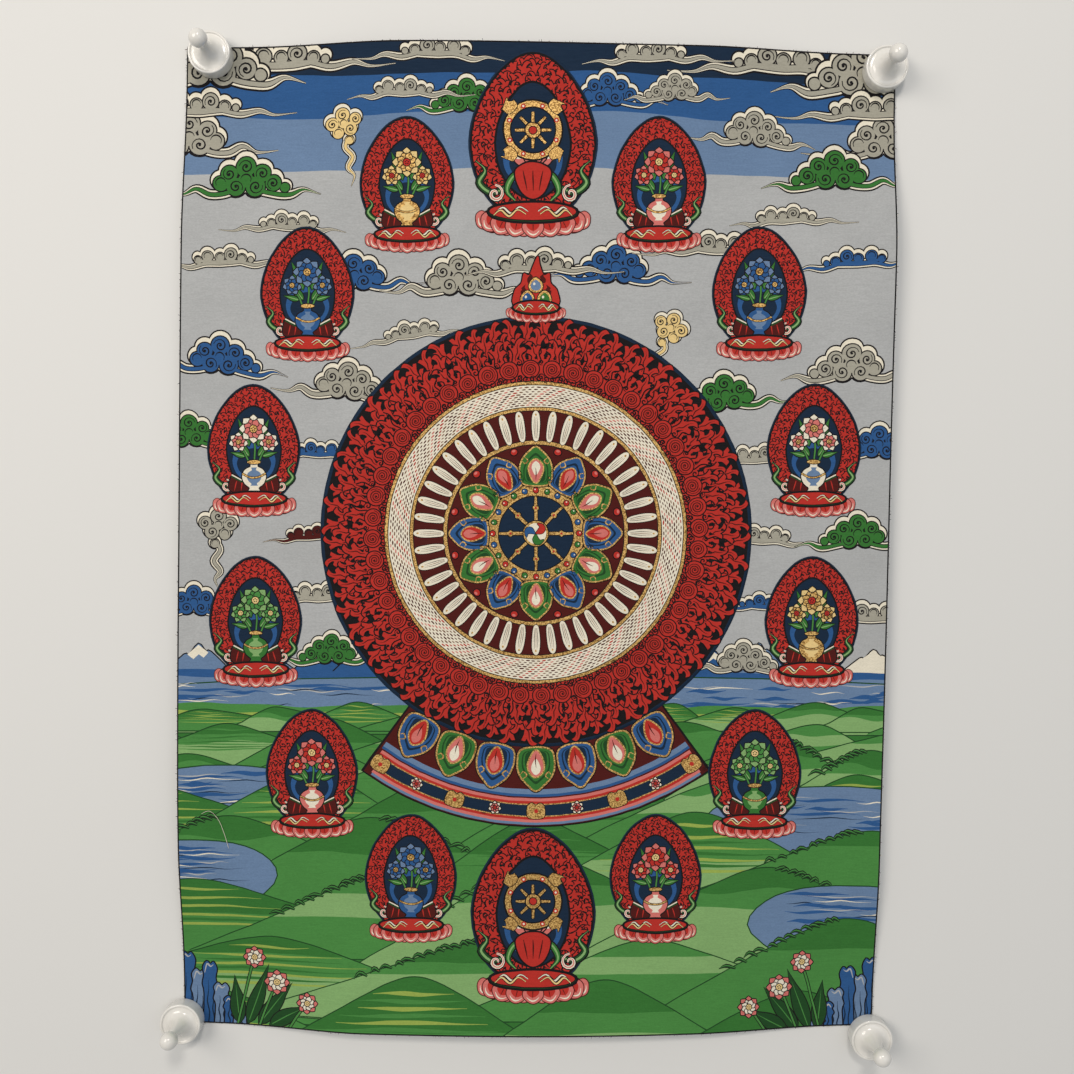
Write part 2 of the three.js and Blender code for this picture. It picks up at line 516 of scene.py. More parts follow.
def vase(face, shade):
    """A treasure vase with a sash, on a folded cloth."""
    drape = loop(
        -15 - 16j, -9 - 19j, 0 - 23j, 9 - 19j, 15 - 16j, 17 - 26j, 8 - 29j, 0 - 27j, -8 - 29j, -17 - 26j
    )
    layers = edged(drape, "maroon", 0.8)
    for x in (-12, -8, 8, 12):
        fold = curve([complex(x, -19 - abs(x) * 0.1), complex(x * 1.15, -27)])
        layers += strokes(fold, ("red", 0.8, 0.5, 0.2))
    layers += strokes(curve([-15.5 - 16.5j, -8 - 20.5j, 0 - 24.5j, 8 - 20.5j, 15.5 - 16.5j]), ("forest", 1.8))
    layers += strokes(curve([-15.5 - 15.8j, -8 - 19.8j, 0 - 23.6j, 8 - 19.8j, 15.5 - 15.8j]), ("cream", 0.8))
    side = curve([3.4 - 7j, 2.4 - 10j, 6.4 - 12.5j, 8.4 - 17j, 6.6 - 22j, 3.2 - 25j, 4.6 - 27.5j], 3)
    shape = side + mirrored(side[::-1])
    layers += edged(shape, face, 0.8) + [([p * 0.62 - 6.4j for p in shape], shade)]
    layers += strokes(curve([-8.2 - 15j, -3 - 17.5j, 3 - 17.5j, 8.2 - 15j]), ("ink", 1.7), ("gilt", 1.0))
    return layers + edged(oval(-7j, 9.4, 2.6, 12), "gilt", 0.6)


def offering(outer, inner, heart, face, shade):
    """Three flowers with leaves in a vase."""
    layers = []
    for angle, at, length in ((128, -3 - 3j, 13), (52, 3 - 3j, 13), (165, -6 - 3j, 9), (15, 6 - 3j, 9),
                              (112, -3 + 4j, 17), (68, 3 + 4j, 17)):
        layers += moved(leaf(length, length * 0.38), at, degrees=angle - 90)
    for stem in ([-3 - 8j, -6 - 1j, -10 + 5j], [-8j, 1 + 3j, 12j], [3 - 8j, 6 - 1j, 10 + 5j]):
        layers += strokes(curve(stem), ("ink", 1.8), ("moss", 1.0))
    layers += vase(face, shade)
    for middle, radius, petals in ((-10.5 + 7j, 6.4, 7), (10.5 + 7j, 6.4, 7), (16j, 9.6, 8)):
        layers += bloom(middle, radius, outer, inner, heart, petals)
    return layers


def small_wheel():
    """An eight-spoked wheel over a lotus, with a sash."""
    layers = []
    for angle in (35, 62, 118, 145):
        layers += moved(petal_drawing(14, 9, "pink", "cream"), -9j, degrees=angle - 90)
    layers += moved(petal_drawing(13, 10, "pink", "cream"), -10j)
    for side in (-1, 1):
        sash = curve([side * 3 - 12j, side * 10 - 15j, side * 13 - 22j, side * 9 - 27j])
        layers += strokes(sash, ("ink", 4.2, 1, 0.4), ("leaf", 2.8, 1, 0.3), ("pale_green", 0.9, 1, 0.3))
    base = loop(-9 - 13j, -5 - 9j, 0 - 8j, 5 - 9j, 9 - 13j, 6 - 22j, 0 - 26j, -6 - 22j)
    layers += edged(base, "red", 0.9)
    for x in (-5, 0, 5):
        layers += strokes(curve([complex(x, -12), complex(x * 0.6, -22)]), ("maroon", 0.8, 0.4, 0.3))
    bar = ribbon([3j, 9j], 1.5, 1, 0.7)
    stud = [(oval(0, 2.6, 2.6, 9), "red"), (oval(0, 1.2, 1.2, 7), "cream")]
    return layers + moved([
        *edged(oval(0, 29, steps=28), "gilt", 0.9), *edged(oval(0, 22, steps=28), "navy", 0.7),
        *fan(edged(bar, "gilt", 0.5), 8, 0), *fan(stud, 8, 12.7, first=112.5),
        *edged(oval(0, 7.5, steps=14), "gilt", 0.7), *edged(oval(0, 3.6, steps=10), "red", 0.5),
        *fan(edged(flame(5.5), "gilt", 0.4), 4, 15, first=45),
    ], 8j)


def egg(wide, tall, scallops=0, depth=0.0, steps=60):
    """An oval that narrows to a soft point at its top, with a plain or scalloped edge."""
    points = []
    for i in range(steps):
        angle = TAU * i / steps
        rise = max(0, math.sin(angle))
        edge = 1 + depth * abs(math.sin(scallops * angle / 2))
        points.append(edge * complex(
            wide / 2 * math.cos(angle) * (1 - 0.1 * rise), tall / 2 * (math.sin(angle) + 0.06 * rise ** 6)
        ))
    return points


def medallion(contents, seed):
    """A flame-rimmed oval with a dark blue middle, its contents and a lotus seat."""
    chance = random.Random(seed)
    middle = 3j

    def ring(wide, tall, down=0, **edge):
        return [p + middle - down * 1j for p in egg(wide, tall, **edge)]

    layers = [(ring(62, 80), "red")]
    for share, count, tall, wide in ((0.86, 32, 7.4, 4.8), (0.77, 28, 7.0, 4.6), (0.68, 24, 6.0, 4.4)):
        for foot in egg(60 * share, 77.5 * share, steps=count):
            outward = math.degrees(cmath.phase(foot)) - 90
            upward = (outward + 180) % 360 - 180
            lick = forked_flame(tall * chance.uniform(0.85, 1.15), wide * chance.uniform(0.8, 1.1), 0.1, 0.6)
            lick = moved(lick[:2], mirror=chance.random() < 0.5)
            layers += moved(lick, foot + middle, 1, 0.6 * upward + chance.uniform(-14, 14))
            drop = [(ink_drop(tall * 0.34, chance.uniform(1.3, 2.0)), "ink")]
            layers += moved(drop, foot * (1 - 0.02 * chance.random()) + middle, 1, 0.6 * upward)
    layers.append(outside(ring(61, 78.5, scallops=36, depth=0.012, steps=108), "ink", 60))
    layers.append(outside(ring(63.6, 81.4), "navy", 60))
    layers.append(outside(ring(65.2, 83), None, 70))
    layers += edged(ring(37, 55, 1), "navy", 1.1)
    layers += [(ring(30, 30, 9), "royal"), (ring(24, 20, 11), "navy")]
    for side in (-1, 1):
        scarf = curve([side * 13 - 20j, side * 21 - 23j, side * 27 - 18j, side * 24 - 12j, side * 29 - 7j])
        layers += strokes(
            scarf, ("ink", 4.6, 0.7, 0.2), ("forest", 3.1, 0.7, 0.1), ("pale_green", 1.2, 0.6, 0.1)
        )
        curl = spiral(side * 19 - 23.5j, 4.4, 1.3, 90, side)
        layers += strokes(curl, ("ink", 3.0, 0.6, 0.6), ("cream", 1.7, 0.6, 0.5), ("pink", 0.6, 0.6, 0.5))
    return layers + contents + moved(lotus_seat(52), -34.5j)


MEDALLIONS = {
    "blue": offering("sky", "royal", "gilt", "royal", "sky"),
    "gold": offering("lemon", "gilt", "red", "gilt", "lemon"),
    "pink": offering("pink", "red", "lemon", "pink", "cream"),
    "white": offering("cream", "pink", "gilt", "cream", "sky"),
    "green": offering("pale_green", "moss", "lemon", "leaf", "pale_green"),
    "wheel": small_wheel(),
}
CLOUDS = {
    "grey": ("heaped", "cloud"), "blue": ("heaped", "royal"), "green": ("heaped", "leaf"),
    "warm": ("rising", "lemon"), "smoke": ("rising", "cloud"), "wisp": ("flat", "cloud"),
    "dusk": ("flat", "maroon"), "stream": ("flat", "royal"),
}


# ---------------------------------------------------------------- nodes and meshes


def fill(tree, node, inputs):
    """Links or fills a node's inputs, each given by its name or place."""
    for key, value in inputs.items():
        socket = node.inputs[key]
        if isinstance(value, bpy.types.NodeSocket):
            tree.links.new(value, socket)
        else:
            socket.default_value = value


def add(tree, kind, *values, **settings):
    """Adds a node with these settings, and links or fills its inputs: a dictionary's by name or
    place, and other values in turn. What stands after a dot in the kind is its operation."""
    kind, _, operation = kind.partition(".")
    node = tree.nodes.new(kind if "Node" in kind else "ShaderNode" + kind)
    if operation:
        node.operation = operation
    for name, value in settings.items():
        setattr(node, name, value)
    if values and isinstance(values[0], dict):
        fill(tree, node, values[0])
    else:
        used = [place for place, socket in enumerate(node.inputs) if socket.enabled]
        fill(tree, node, dict(zip(used, values)))
    return node


def out(*parts, **settings):
    """Adds a node in the same way, and gives its first output in use."""
    return next(socket for socket in add(*parts, **settings).outputs if socket.enabled)


def nodes_tree(name, sockets):
    """A Geometry Nodes group with these named inputs, and a geometry input and output."""
    tree = bpy.data.node_groups.new(name, "GeometryNodeTree")
    tree.interface.new_socket("Geometry", in_out="OUTPUT", socket_type="NodeSocketGeometry")
    tree.interface.new_socket("Geometry", in_out="INPUT", socket_type="NodeSocketGeometry")
    for label, kind in sockets.items():
        tree.interface.new_socket(label, in_out="INPUT", socket_type="NodeSocket" + kind)
    return tree, add(tree, "NodeGroupInput").outputs, add(tree, "NodeGroupOutput")


def topmost(centres, layers, batch=1_000_000):
    """For each centre, the place in layers of the last outline that goes round it, or -1."""
    found = np.full(len(centres), -1)
    for k, (outline, _) in enumerate(layers):
        here = np.array(outline)
        after = np.roll(here, -1)
        across = (centres.real > here.real.min()) & (centres.real < here.real.max())
        near = np.nonzero(across & (centres.imag > here.imag.min()) & (centres.imag < here.imag.max()))[0]
        for part in np.array_split(near, len(near) * len(here) // batch + 1):
            spots = centres[part][:, None]
            side = ((after - here).conjugate() * (spots - here)).imag
            rising = (here.imag <= spots.imag) & (after.imag > spots.imag) & (side > 0)
            falling = (here.imag > spots.imag) & (after.imag <= spots.imag) & (side < 0)
            found[part[rising.sum(1) != falling.sum(1)]] = k
    return found


def values_of(items, name, wide=1, kind=float):
    """One value of each of a mesh's items, in rows where it has more than one number."""
    found = np.empty(len(items) * wide, kind)
    items.foreach_get(name, found)
    return found.reshape(-1, wide) if wide > 1 else found


def new_mesh(name, corners, faces=(), lines=()):
    mesh = bpy.data.meshes.new(name)
    mesh.from_pydata(corners, lines, faces, shade_flat=False)
    return mesh


def keep_colours(mesh, name, domain, colours):
    layer = mesh.attributes.new(name, "FLOAT_COLOR", domain)
    layer.data.foreach_set("color", np.ravel(colours))


def shown(name, mesh, *materials):
    """An object in the scene, with that mesh in these materials."""
    for material in materials:
        mesh.materials.append(material)
    piece = bpy.data.objects.new(name, mesh)
    bpy.context.scene.collection.objects.link(piece)
    return piece


def joined_up(points, lines, nearest=0.01, sliver=0.002):
    """The triangles that keep to these lines, with all the points as corners. Points nearer than
    that to each other become one, and slivers on the outside are left off."""
    flat = [Vector((p.real, p.imag)) for p in points]
    corners, _, triangles, _, _, _ = geometry.delaunay_2d_cdt(flat, lines, [], 0, nearest, False)
    corners, triangles = np.array([complex(c.x, c.y) for c in corners]), np.array(triangles)
    along = np.roll(corners[triangles], -1, axis=1) - corners[triangles]
    height = np.abs((along[:, 0].conjugate() * along[:, 1]).imag) / np.abs(along).max(axis=1)
    thin = height < sliver
    while True:
        sides = np.stack([triangles, np.roll(triangles, -1, axis=1)], axis=2).reshape(-1, 2)
        sides = np.sort(sides, axis=1)
        _, place, count = np.unique(sides, axis=0, return_inverse=True, return_counts=True)
        outermost = (count[place.ravel()] == 1).reshape(-1, 3).any(axis=1)
        kept = ~(outermost & thin)
        if kept.all():
            return corners, triangles
        triangles, thin = triangles[kept], thin[kept]


def thinned(path, slack):
    """The path without the points that lie within the slack of a straight run."""
    kept, runs = {0, len(path) - 1}, [(0, len(path) - 1)]
    while runs:
        first, last = runs.pop()
        if last - first < 2:
            continue
        along = path[last] - path[first]
        inner = path[first + 1:last] - path[first]
        off = np.abs((along.conjugate() * inner).imag) / abs(along) if abs(along) > 1e-6 else np.abs(inner)
        far = first + 1 + int(off.argmax())
        if off.max() > slack:
            kept.add(far)
            runs += [(first, far), (far, last)]
    return [path[k] for k in sorted(kept)]


def seen_lines(places, triangles, tints, slack):
    """The lines where one thread meets another, as paths thinned to the slack."""
    sides = np.concatenate([triangles[:, [0, 1]], triangles[:, [1, 2]], triangles[:, [2, 0]]])
    sides = np.sort(sides, axis=1)
    pairs, place = np.unique(sides, axis=0, return_inverse=True)
    low, high = np.full(len(pairs), 99), np.full(len(pairs), -1)
    np.minimum.at(low, place.ravel(), np.tile(tints, 3))
    np.maximum.at(high, place.ravel(), np.tile(tints, 3))
    alone = np.bincount(place.ravel()) == 1
    near = {}
    for a, b in pairs[(low != high) | (alone & (high >= 0))].tolist():
        near.setdefault(a, set()).add(b)
        near.setdefault(b, set()).add(a)
    paths = []
    for start in sorted(near, key=lambda k: (len(near[k]) == 2, k)):
        while near[start]:
            walk = [start]
            while True:
                here = walk[-1]
                following = min(near[here])
                near[here].remove(following)
                near[following].remove(here)
                walk.append(following)
                if following == start or len(near[following]) != 1:
                    break
            paths.append(thinned(places[walk], slack))
    return paths


def flat_drawing(name, layers, pitch, span=None, slack=0.04):
    """One flat mesh of a drawing, each face with the thread of the topmost layer there. Lines
    that upper layers hide are left out. Points of its own, this pitch apart over the span or
    the whole drawing, let it bend."""
    if span:
        low, high = (complex(pick(p.real for p in span), pick(p.imag for p in span)) for pick in (min, max))

        def meets(part, drawn):
            least, most = (pick(getattr(p, part) for p in drawn) for pick in (min, max))
            return most > getattr(low, part) and least < getattr(high, part)

        layers = [layer for layer in layers if meets("real", layer[0]) and meets("imag", layer[0])]
    threads = [layer[1] for layer in layers] + [None]
    names = sorted(set(threads) - {None})
    codes = np.array([names.index(each) if each else -1 for each in threads])

    def dyes_of(places, triangles):
        return codes[topmost(places[triangles].mean(axis=1), layers)]

    points, lines = [], []
    for outline, _ in layers:
        first, count = len(points), len(outline)
        lines += [(first + i, first + (i + 1) % count) for i in range(count)]
        points += outline
    places, triangles = joined_up(points, lines)
    paths = seen_lines(places, triangles, dyes_of(places, triangles), slack)
    points, lines = [], []
    for path in paths:
        steps = [(a, b, math.ceil(abs(b - a) / pitch)) for a, b in zip(path, path[1:])]
        path = [a + (b - a) * i / count for a, b, count in steps for i in range(count)] + path[-1:]
        lines += [(len(points) + i, len(points) + i + 1) for i in range(len(path) - 1)]
        points += path
    span = span or points
    left, right = min(p.real for p in span), max(p.real for p in span)
    low, high = min(p.imag for p in span), max(p.imag for p in span)
    for row in range(1, int((high - low) / pitch) + 1):
        shift = pitch / 2 * (row % 2)
        for column in range(int((right - left) / pitch) + 1):
            points.append(complex(left + shift + column * pitch, low + row * pitch))
    places, triangles = joined_up(points, lines)
    tints = dyes_of(places, triangles)
    triangles, tints = triangles[tints >= 0], tints[tints >= 0]
    used, triangles = np.unique(triangles, return_inverse=True)
    corners = [(p.real * MM, 0, p.imag * MM) for p in places[used]]
    mesh = new_mesh(name, corners, triangles.reshape(-1, 3).tolist())
    keep_colours(mesh, "thread_colour", "FACE", np.array([thread(each) for each in names])[tints])
    return mesh


def motif_set(name, drawings, pitch=6.0):
    """A collection of drawings for a node tree to set out, in the order given."""
    shelf = bpy.data.collections.new(name)
    for i, drawing in enumerate(drawings):
        label = f"{name}_{i:02d}"
        shelf.objects.link(bpy.data.objects.new(label, flat_drawing(label, drawing, pitch)))
    return shelf


def clear_away(shelf):
    for motif in list(shelf.objects):
        bpy.data.objects.remove(motif)
    bpy.data.collections.remove(shelf)


def from_tree(name, tree, values, base=None, depth=0.0):
    """Runs a tree on a mesh and keeps what it makes as a plain mesh. A depth makes each sheet in
    it a closed one, which reaches that far back."""
    piece = shown(name, base or bpy.data.meshes.new(name))
    modifier = piece.modifiers.new(tree.name, "NODES")
    modifier.node_group = tree
    for item in tree.interface.items_tree:
        if item.item_type == "SOCKET" and item.in_out == "INPUT" and item.name in values:
            modifier[item.identifier] = values[item.name]
    if depth:
        sunk = piece.modifiers.new("Depth", "SOLIDIFY")
        sunk.thickness = depth
        sunk.offset = -1
    depsgraph = bpy.context.evaluated_depsgraph_get()
    made = bpy.data.meshes.new_from_object(piece.evaluated_get(depsgraph), depsgraph=depsgraph)
    piece.modifiers.clear()
    piece.data = made
    made.name = name
    # Shapes made real bring an empty first slot, which goes.
    made.materials.clear()
    made.materials.append(values["Material"])
    if not made.polygons:
        raise RuntimeError(f"{name} came out empty")
    return piece


# How large the back is on the map, beside the front.
BACK_SHARE = 0.36


def map_flat(mesh):
    """A map for baking, straight from the wall's plane. On a closed sheet the front takes most of
    it, with the back beside it at a third of the size and the cut edges in a strip over that."""
    sides = values_of(mesh.polygons, "loop_total", kind=int)
    towards = np.repeat(values_of(mesh.polygons, "normal", 3)[:, 1], sides)
    places = values_of(mesh.vertices, "co", 3)
    x, y, z = (places - places.min(0))[values_of(mesh.loops, "vertex_index", kind=int)].T
    beside = 1.03 * x.max()
    front, back = towards < -0.3, towards > 0.3
    u = np.select([front, back], [x, beside + BACK_SHARE * x], beside + y)
    v = np.select([front, back], [z, BACK_SHARE * z], 0.4 * z.max() + 0.3 * (x + z))
    spread = np.stack([u, v], 1).ravel() / max(u.max(), v.max())
    mesh.uv_layers.new(name="OFBake").data.foreach_set("uv", spread)


def belongs(piece):
    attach(piece, "root")
    return piece


def drape_tree():
    """Lays flat embroidery on the front of the cloth: a little waver, then down onto the folds."""
    if "Drape on cloth" in bpy.data.node_groups:
        return bpy.data.node_groups["Drape on cloth"]
    tree, given, result = nodes_tree(
        "Drape on cloth", {"Cloth": "Object", "Lift": "Float", "Waver": "Float"}
    )
    place = out(tree, "GeometryNodeInputPosition")
    stray = add(tree, "TexNoise", {"Vector": place, "Scale": 85.0, "Detail": 1.0})
    centred = out(tree, "VectorMath.SUBTRACT", stray.outputs["Color"], (0.5, 0.5, 0.5))
    amount = out(tree, "Math.MULTIPLY", given["Waver"], 2.0)
    strayed = out(tree, "VectorMath.SCALE", centred, amount)
    parts = add(tree, "SeparateXYZ", out(tree, "VectorMath.ADD", place, strayed)).outputs
    source = out(tree, "CombineXYZ", {"X": parts["X"], "Y": -0.2, "Z": parts["Z"]})
    cloth = add(tree, "GeometryNodeObjectInfo", {"Object": given["Cloth"]}, transform_space="RELATIVE")
    ray = add(tree, "GeometryNodeRaycast", {
        "Target Geometry": cloth.outputs["Geometry"], "Source Position": source, "Ray Direction": (0, 1, 0),
        "Ray Length": 1.0,
    })
    hit = add(tree, "SeparateXYZ", {0: ray.outputs["Hit Position"]}).outputs
    depth = out(tree, "Math.SUBTRACT", hit["Y"], given["Lift"])
    laid = out(tree, "CombineXYZ", {"X": parts["X"], "Y": depth, "Z": parts["Z"]})
    draped = out(tree, "GeometryNodeSetPosition", {
        "Geometry": given["Geometry"], "Selection": ray.outputs["Is Hit"], "Position": laid,
    })
    tree.links.new(draped, result.inputs[0])
    return tree


RANDOM = "FunctionNodeRandomValue"
LAY_SOCKETS = {
    "Motifs": "Collection", "Cloth": "Object", "Material": "Material", "Lift": "Float", "Waver": "Float",
}


def set_out(tree, shelf, points, pick, rotation, scale, selection=True):
    """Copies of a collection's shapes on the points, each picked by its number, made real."""
    shapes = out(tree, "GeometryNodeCollectionInfo", {
        "Collection": shelf, "Separate Children": True, "Reset Children": True,
    })
    placed = out(tree, "GeometryNodeInstanceOnPoints", {
        "Points": points, "Instance": shapes, "Pick Instance": True, "Instance Index": pick,
        "Rotation": rotation, "Scale": scale, "Selection": selection,
    })
    return out(tree, "GeometryNodeRealizeInstances", {0: placed})


def finish_tree(tree, geometry, given, result):
    dyed = out(tree, "GeometryNodeSetMaterial", {"Geometry": geometry, "Material": given["Material"]})
    tree.links.new(dyed, result.inputs[0])


def lay_out(tree, given, result, points, pick, rotation, scale):
    """The end of every embroidery tree: motifs on the points, made real, draped and dyed."""
    real = set_out(tree, given["Motifs"], points, pick, rotation, scale)
    draped = add(tree, "GeometryNodeGroup", node_tree=drape_tree())
    labels = "Cloth", "Lift", "Waver"
    fill(tree, draped, {"Geometry": real, **{label: given[label] for label in labels}})
    finish_tree(tree, draped.outputs[0], given, result)


def ring_tree():
    """Motifs in rows round a middle, their up pointing outwards."""
    if "Rings of motifs" in bpy.data.node_groups:
        return bpy.data.node_groups["Rings of motifs"]
    tree, given, result = nodes_tree("Rings of motifs", LAY_SOCKETS | {
        "Middle": "Vector", "Radius": "Float", "Count": "Int", "Rows": "Int", "Row pitch": "Float",
        "Row shift": "Float", "Start": "Float", "Sweep": "Float", "Size": "Float", "Size spread": "Float",
        "Turn": "Float", "Turn spread": "Float", "Seed": "Int",
    })
    total = out(tree, "Math.MULTIPLY", given["Count"], given["Rows"])
    line = out(tree, "GeometryNodeMeshLine", {"Count": total})
    index = out(tree, "GeometryNodeInputIndex")
    row = out(tree, "Math.FLOOR", out(tree, "Math.DIVIDE", out(tree, "Math.ADD", index, 0.5), given["Count"]))
    column = out(tree, "Math.SUBTRACT", index, out(tree, "Math.MULTIPLY", row, given["Count"]))
    shifted = out(tree, "Math.MULTIPLY_ADD", row, given["Row shift"], column)
    step = out(tree, "Math.DIVIDE", shifted, given["Count"])
    angle = out(tree, "Math.MULTIPLY_ADD", step, given["Sweep"], given["Start"])
    radius = out(tree, "Math.MULTIPLY_ADD", row, given["Row pitch"], given["Radius"])
    spot = out(tree, "CombineXYZ", {
        "X": out(tree, "Math.MULTIPLY", radius, out(tree, "Math.COSINE", angle)),
        "Z": out(tree, "Math.MULTIPLY", radius, out(tree, "Math.SINE", angle)),
    })
    place = out(tree, "VectorMath.ADD", spot, given["Middle"])
    points = out(tree, "GeometryNodeSetPosition", {"Geometry": line, "Position": place})

    def spread(value, most, seed_step):
        least = out(tree, "Math.MULTIPLY", most, -1.0)
        seed = out(tree, "Math.ADD", given["Seed"], seed_step)
        chance = out(tree, RANDOM, {"Min": least, "Max": most, "Seed": seed}, data_type="FLOAT")
        return out(tree, "Math.ADD", value, chance)

    outward = out(tree, "Math.SUBTRACT", out(tree, "Math.ADD", given["Turn"], math.pi / 2), angle)
    turn = out(tree, "CombineXYZ", {"Y": spread(outward, given["Turn spread"], 1)})
    size = out(tree, "Math.MULTIPLY", given["Size"], spread(1.0, given["Size spread"], 2))
    lay_out(tree, given, result, points, out(tree, "Math.ADD", column, row), turn, size)
    return tree


def placed_tree():
    """Motifs at given points, each with its own kind, size and turn."""
    if "Placed motifs" in bpy.data.node_groups:
        return bpy.data.node_groups["Placed motifs"]
    tree, given, result = nodes_tree("Placed motifs", LAY_SOCKETS)

    def read(name, kind):
        return out(tree, "GeometryNodeInputNamedAttribute", {"Name": name}, data_type=kind)

    turn = out(tree, "CombineXYZ", {"Y": read("turn", "FLOAT")})
    lay_out(tree, given, result, given["Geometry"], read("kind", "INT"), turn, read("size", "FLOAT"))
    return tree


def place_points(name, rows):
    """A mesh of bare points for placed_tree. Each row is a place, a kind, a size and a turn."""
    places, kinds, scales, turns = zip(*rows)
    mesh = new_mesh(name, [(p.real * MM, 0, p.imag * MM) for p in places])
    turns = [-math.radians(turn) for turn in turns]
    for label, kind, values in (("kind", "INT", kinds), ("size", "FLOAT", scales), ("turn", "FLOAT", turns)):
        mesh.attributes.new(label, kind, "POINT").data.foreach_set("value", values)
    return mesh


def lay(name, tree, drawings, level, values, base=None):
    """One embroidered piece: its motifs set out by a tree, on that level over the weave."""
    shelf = motif_set(name, drawings)
    piece = from_tree(name, tree, {
        "Motifs": shelf, "Cloth": bpy.data.objects["woven_panel"], "Material": brocade(),
        "Lift": sizes().lift + level * sizes().layer, "Waver": sizes().waver, **values,
    }, base, sizes().stitch_depth)
    clear_away(shelf)
    map_flat(piece.data)
    return belongs(piece)


def lay_one(name, drawing, level, at=0j, size=1):
    """One embroidered piece from a single drawing, which lies at that place."""
    return lay(name, placed_tree(), [drawing], level, {}, place_points(name, [(at, 0, size, 0)]))


# ---------------------------------------------------------------- materials

# Ribs of weft stand this far apart, in millimetres: 11 to the centimetre, which is coarser than
# the real 25, so that they show at all. A wave texture of scale 1 has WAVE_METRES between bands.
RIB = 0.9
WAVE_METRES = TAU / 20


def new_material(name):
    material = bpy.data.materials.new(name)
    material.use_nodes = True
    tree = material.node_tree
    return material, tree, tree.nodes["Principled BSDF"], add(tree, "TexCoord").outputs["Object"]


# The range that nearly all of a noise's values lie in.
MID_NOISE = (0.3, 0.7)


def stretched_noise(tree, coords, across, up, detail=2.0):
    """Noise whose marks are about so long and so high, in millimetres, on the wall's plane."""
    scaled = out(tree, "Mapping", {
        "Vector": coords, "Scale": (1 / (across * MM), 1 / (across * MM), 1 / (up * MM)),
    })
    return add(tree, "TexNoise", {"Vector": scaled, "Scale": 1.0, "Detail": detail}).outputs["Fac"]


def opaque(hex_colour):
    return (*linear(hex_colour), 1)


def brocade():
    """Silk brocade, woven in many colours with some metal-wrapped thread. Its weft lies in fine
    level ribs, each with a slightly different depth of dye, and it has the low sheen of silk.
    The gilt thread glints in specks, because its foil shows only where it floats on top."""
    name = "silk brocade, polychrome, handloomed"
    if name in bpy.data.materials:
        return bpy.data.materials[name]
    material, tree, surface, coords = new_material(name)
    dyed = add(tree, "Attribute", attribute_name="thread_colour")
    # Dye that differs from pick to pick: streaks 9 mm long and one rib high, soft clouds, and a
    # grain of single thread floats about 1 mm long.
    streaks = out(tree, "MapRange", stretched_noise(tree, coords, 9, RIB), *MID_NOISE, 0.955, 1.035)
    patches = out(tree, "MapRange", stretched_noise(tree, coords, 45, 30), *MID_NOISE, 0.965, 1.035)
    grain = out(tree, "MapRange", stretched_noise(tree, coords, 1.4, 0.7, 1.0), *MID_NOISE, 0.93, 1.06)
    depth = out(tree, "Math.MULTIPLY", out(tree, "Math.MULTIPLY", streaks, patches), grain)
    shade = out(tree, "HueSaturation", {"Color": dyed.outputs["Color"], "Value": depth})
    # Foil and its brown core: specks about 1 mm across.
    foil = out(tree, "MapRange", stretched_noise(tree, coords, 1.0, 0.8, 1.0), 0.38, 0.62, 0, 1)
    gilt = out(tree, "Mix", foil, opaque("#7d5a2b"), opaque("#d3ad69"), data_type="RGBA")
    is_gilt = out(tree, "Math.SUBTRACT", 1.0, dyed.outputs["Alpha"])
    silk_rough = out(tree, "MapRange", streaks, 0.955, 1.035, 0.86, 0.76)
    rib = add(tree, "TexWave", {
        "Vector": coords, "Scale": WAVE_METRES / (RIB * MM), "Distortion": 0.8, "Detail": 1.0,
        "Detail Scale": 2.0,
    }, bands_direction="Z").outputs["Fac"]
    pucker = out(tree, "MapRange", stretched_noise(tree, coords, 22, 16), *MID_NOISE, 0, 1)
    ribs = out(tree, "Bump", {"Height": rib, "Distance": 0.06 * MM, "Strength": 0.5})
    bumps = {"Height": pucker, "Distance": 0.4 * MM, "Normal": ribs}
    fill(tree, surface, {
        "Base Color": out(tree, "Mix", is_gilt, shade, gilt, data_type="RGBA"),
        "Metallic": out(tree, "Math.MULTIPLY", is_gilt, 0.45),
        "Roughness": out(tree, "Math.MULTIPLY_ADD", is_gilt, -0.32, silk_rough),
        "Normal": out(tree, "Bump", bumps), "Sheen Weight": 0.03, "Sheen Roughness": 0.4,
        "Specular IOR Level": 0.16,
    })
    return material


def reverse_weave():
    """The back of the brocade: the unused colours float there, so it shows level streaks of all
    the threads over a buff ground, and the picture faintly through them."""
    material, tree, surface, coords = new_material("silk brocade, reverse with floats")
    floats = stretched_noise(tree, coords, 60, 2.4, 3.0)
    tints = ("#7d7768", "#9b9484", "#8a5a50", "#a39c8b", "#5f7a62", "#8f8878", "#57657c")
    ramp = add(tree, "ValToRGB", {"Fac": floats})
    stops = ramp.color_ramp.elements
    stops.remove(stops[1])
    for i, tint in enumerate(tints):
        stop = stops[0] if i == 0 else stops.new(0)
        stop.position = 0.3 + 0.4 * i / (len(tints) - 1)
        stop.color = opaque(tint)
    ghost = add(tree, "Attribute", attribute_name="reverse_colour").outputs["Color"]
    fill(tree, surface, {
        "Base Color": out(tree, "Mix", 0.3, ramp.outputs[0], ghost, data_type="RGBA"),
        "Normal": out(tree, "Bump", {"Height": floats, "Distance": 0.25 * MM}),
        "Roughness": 0.85, "Sheen Weight": 0.15, "Specular IOR Level": 0.2,
    })
    return material


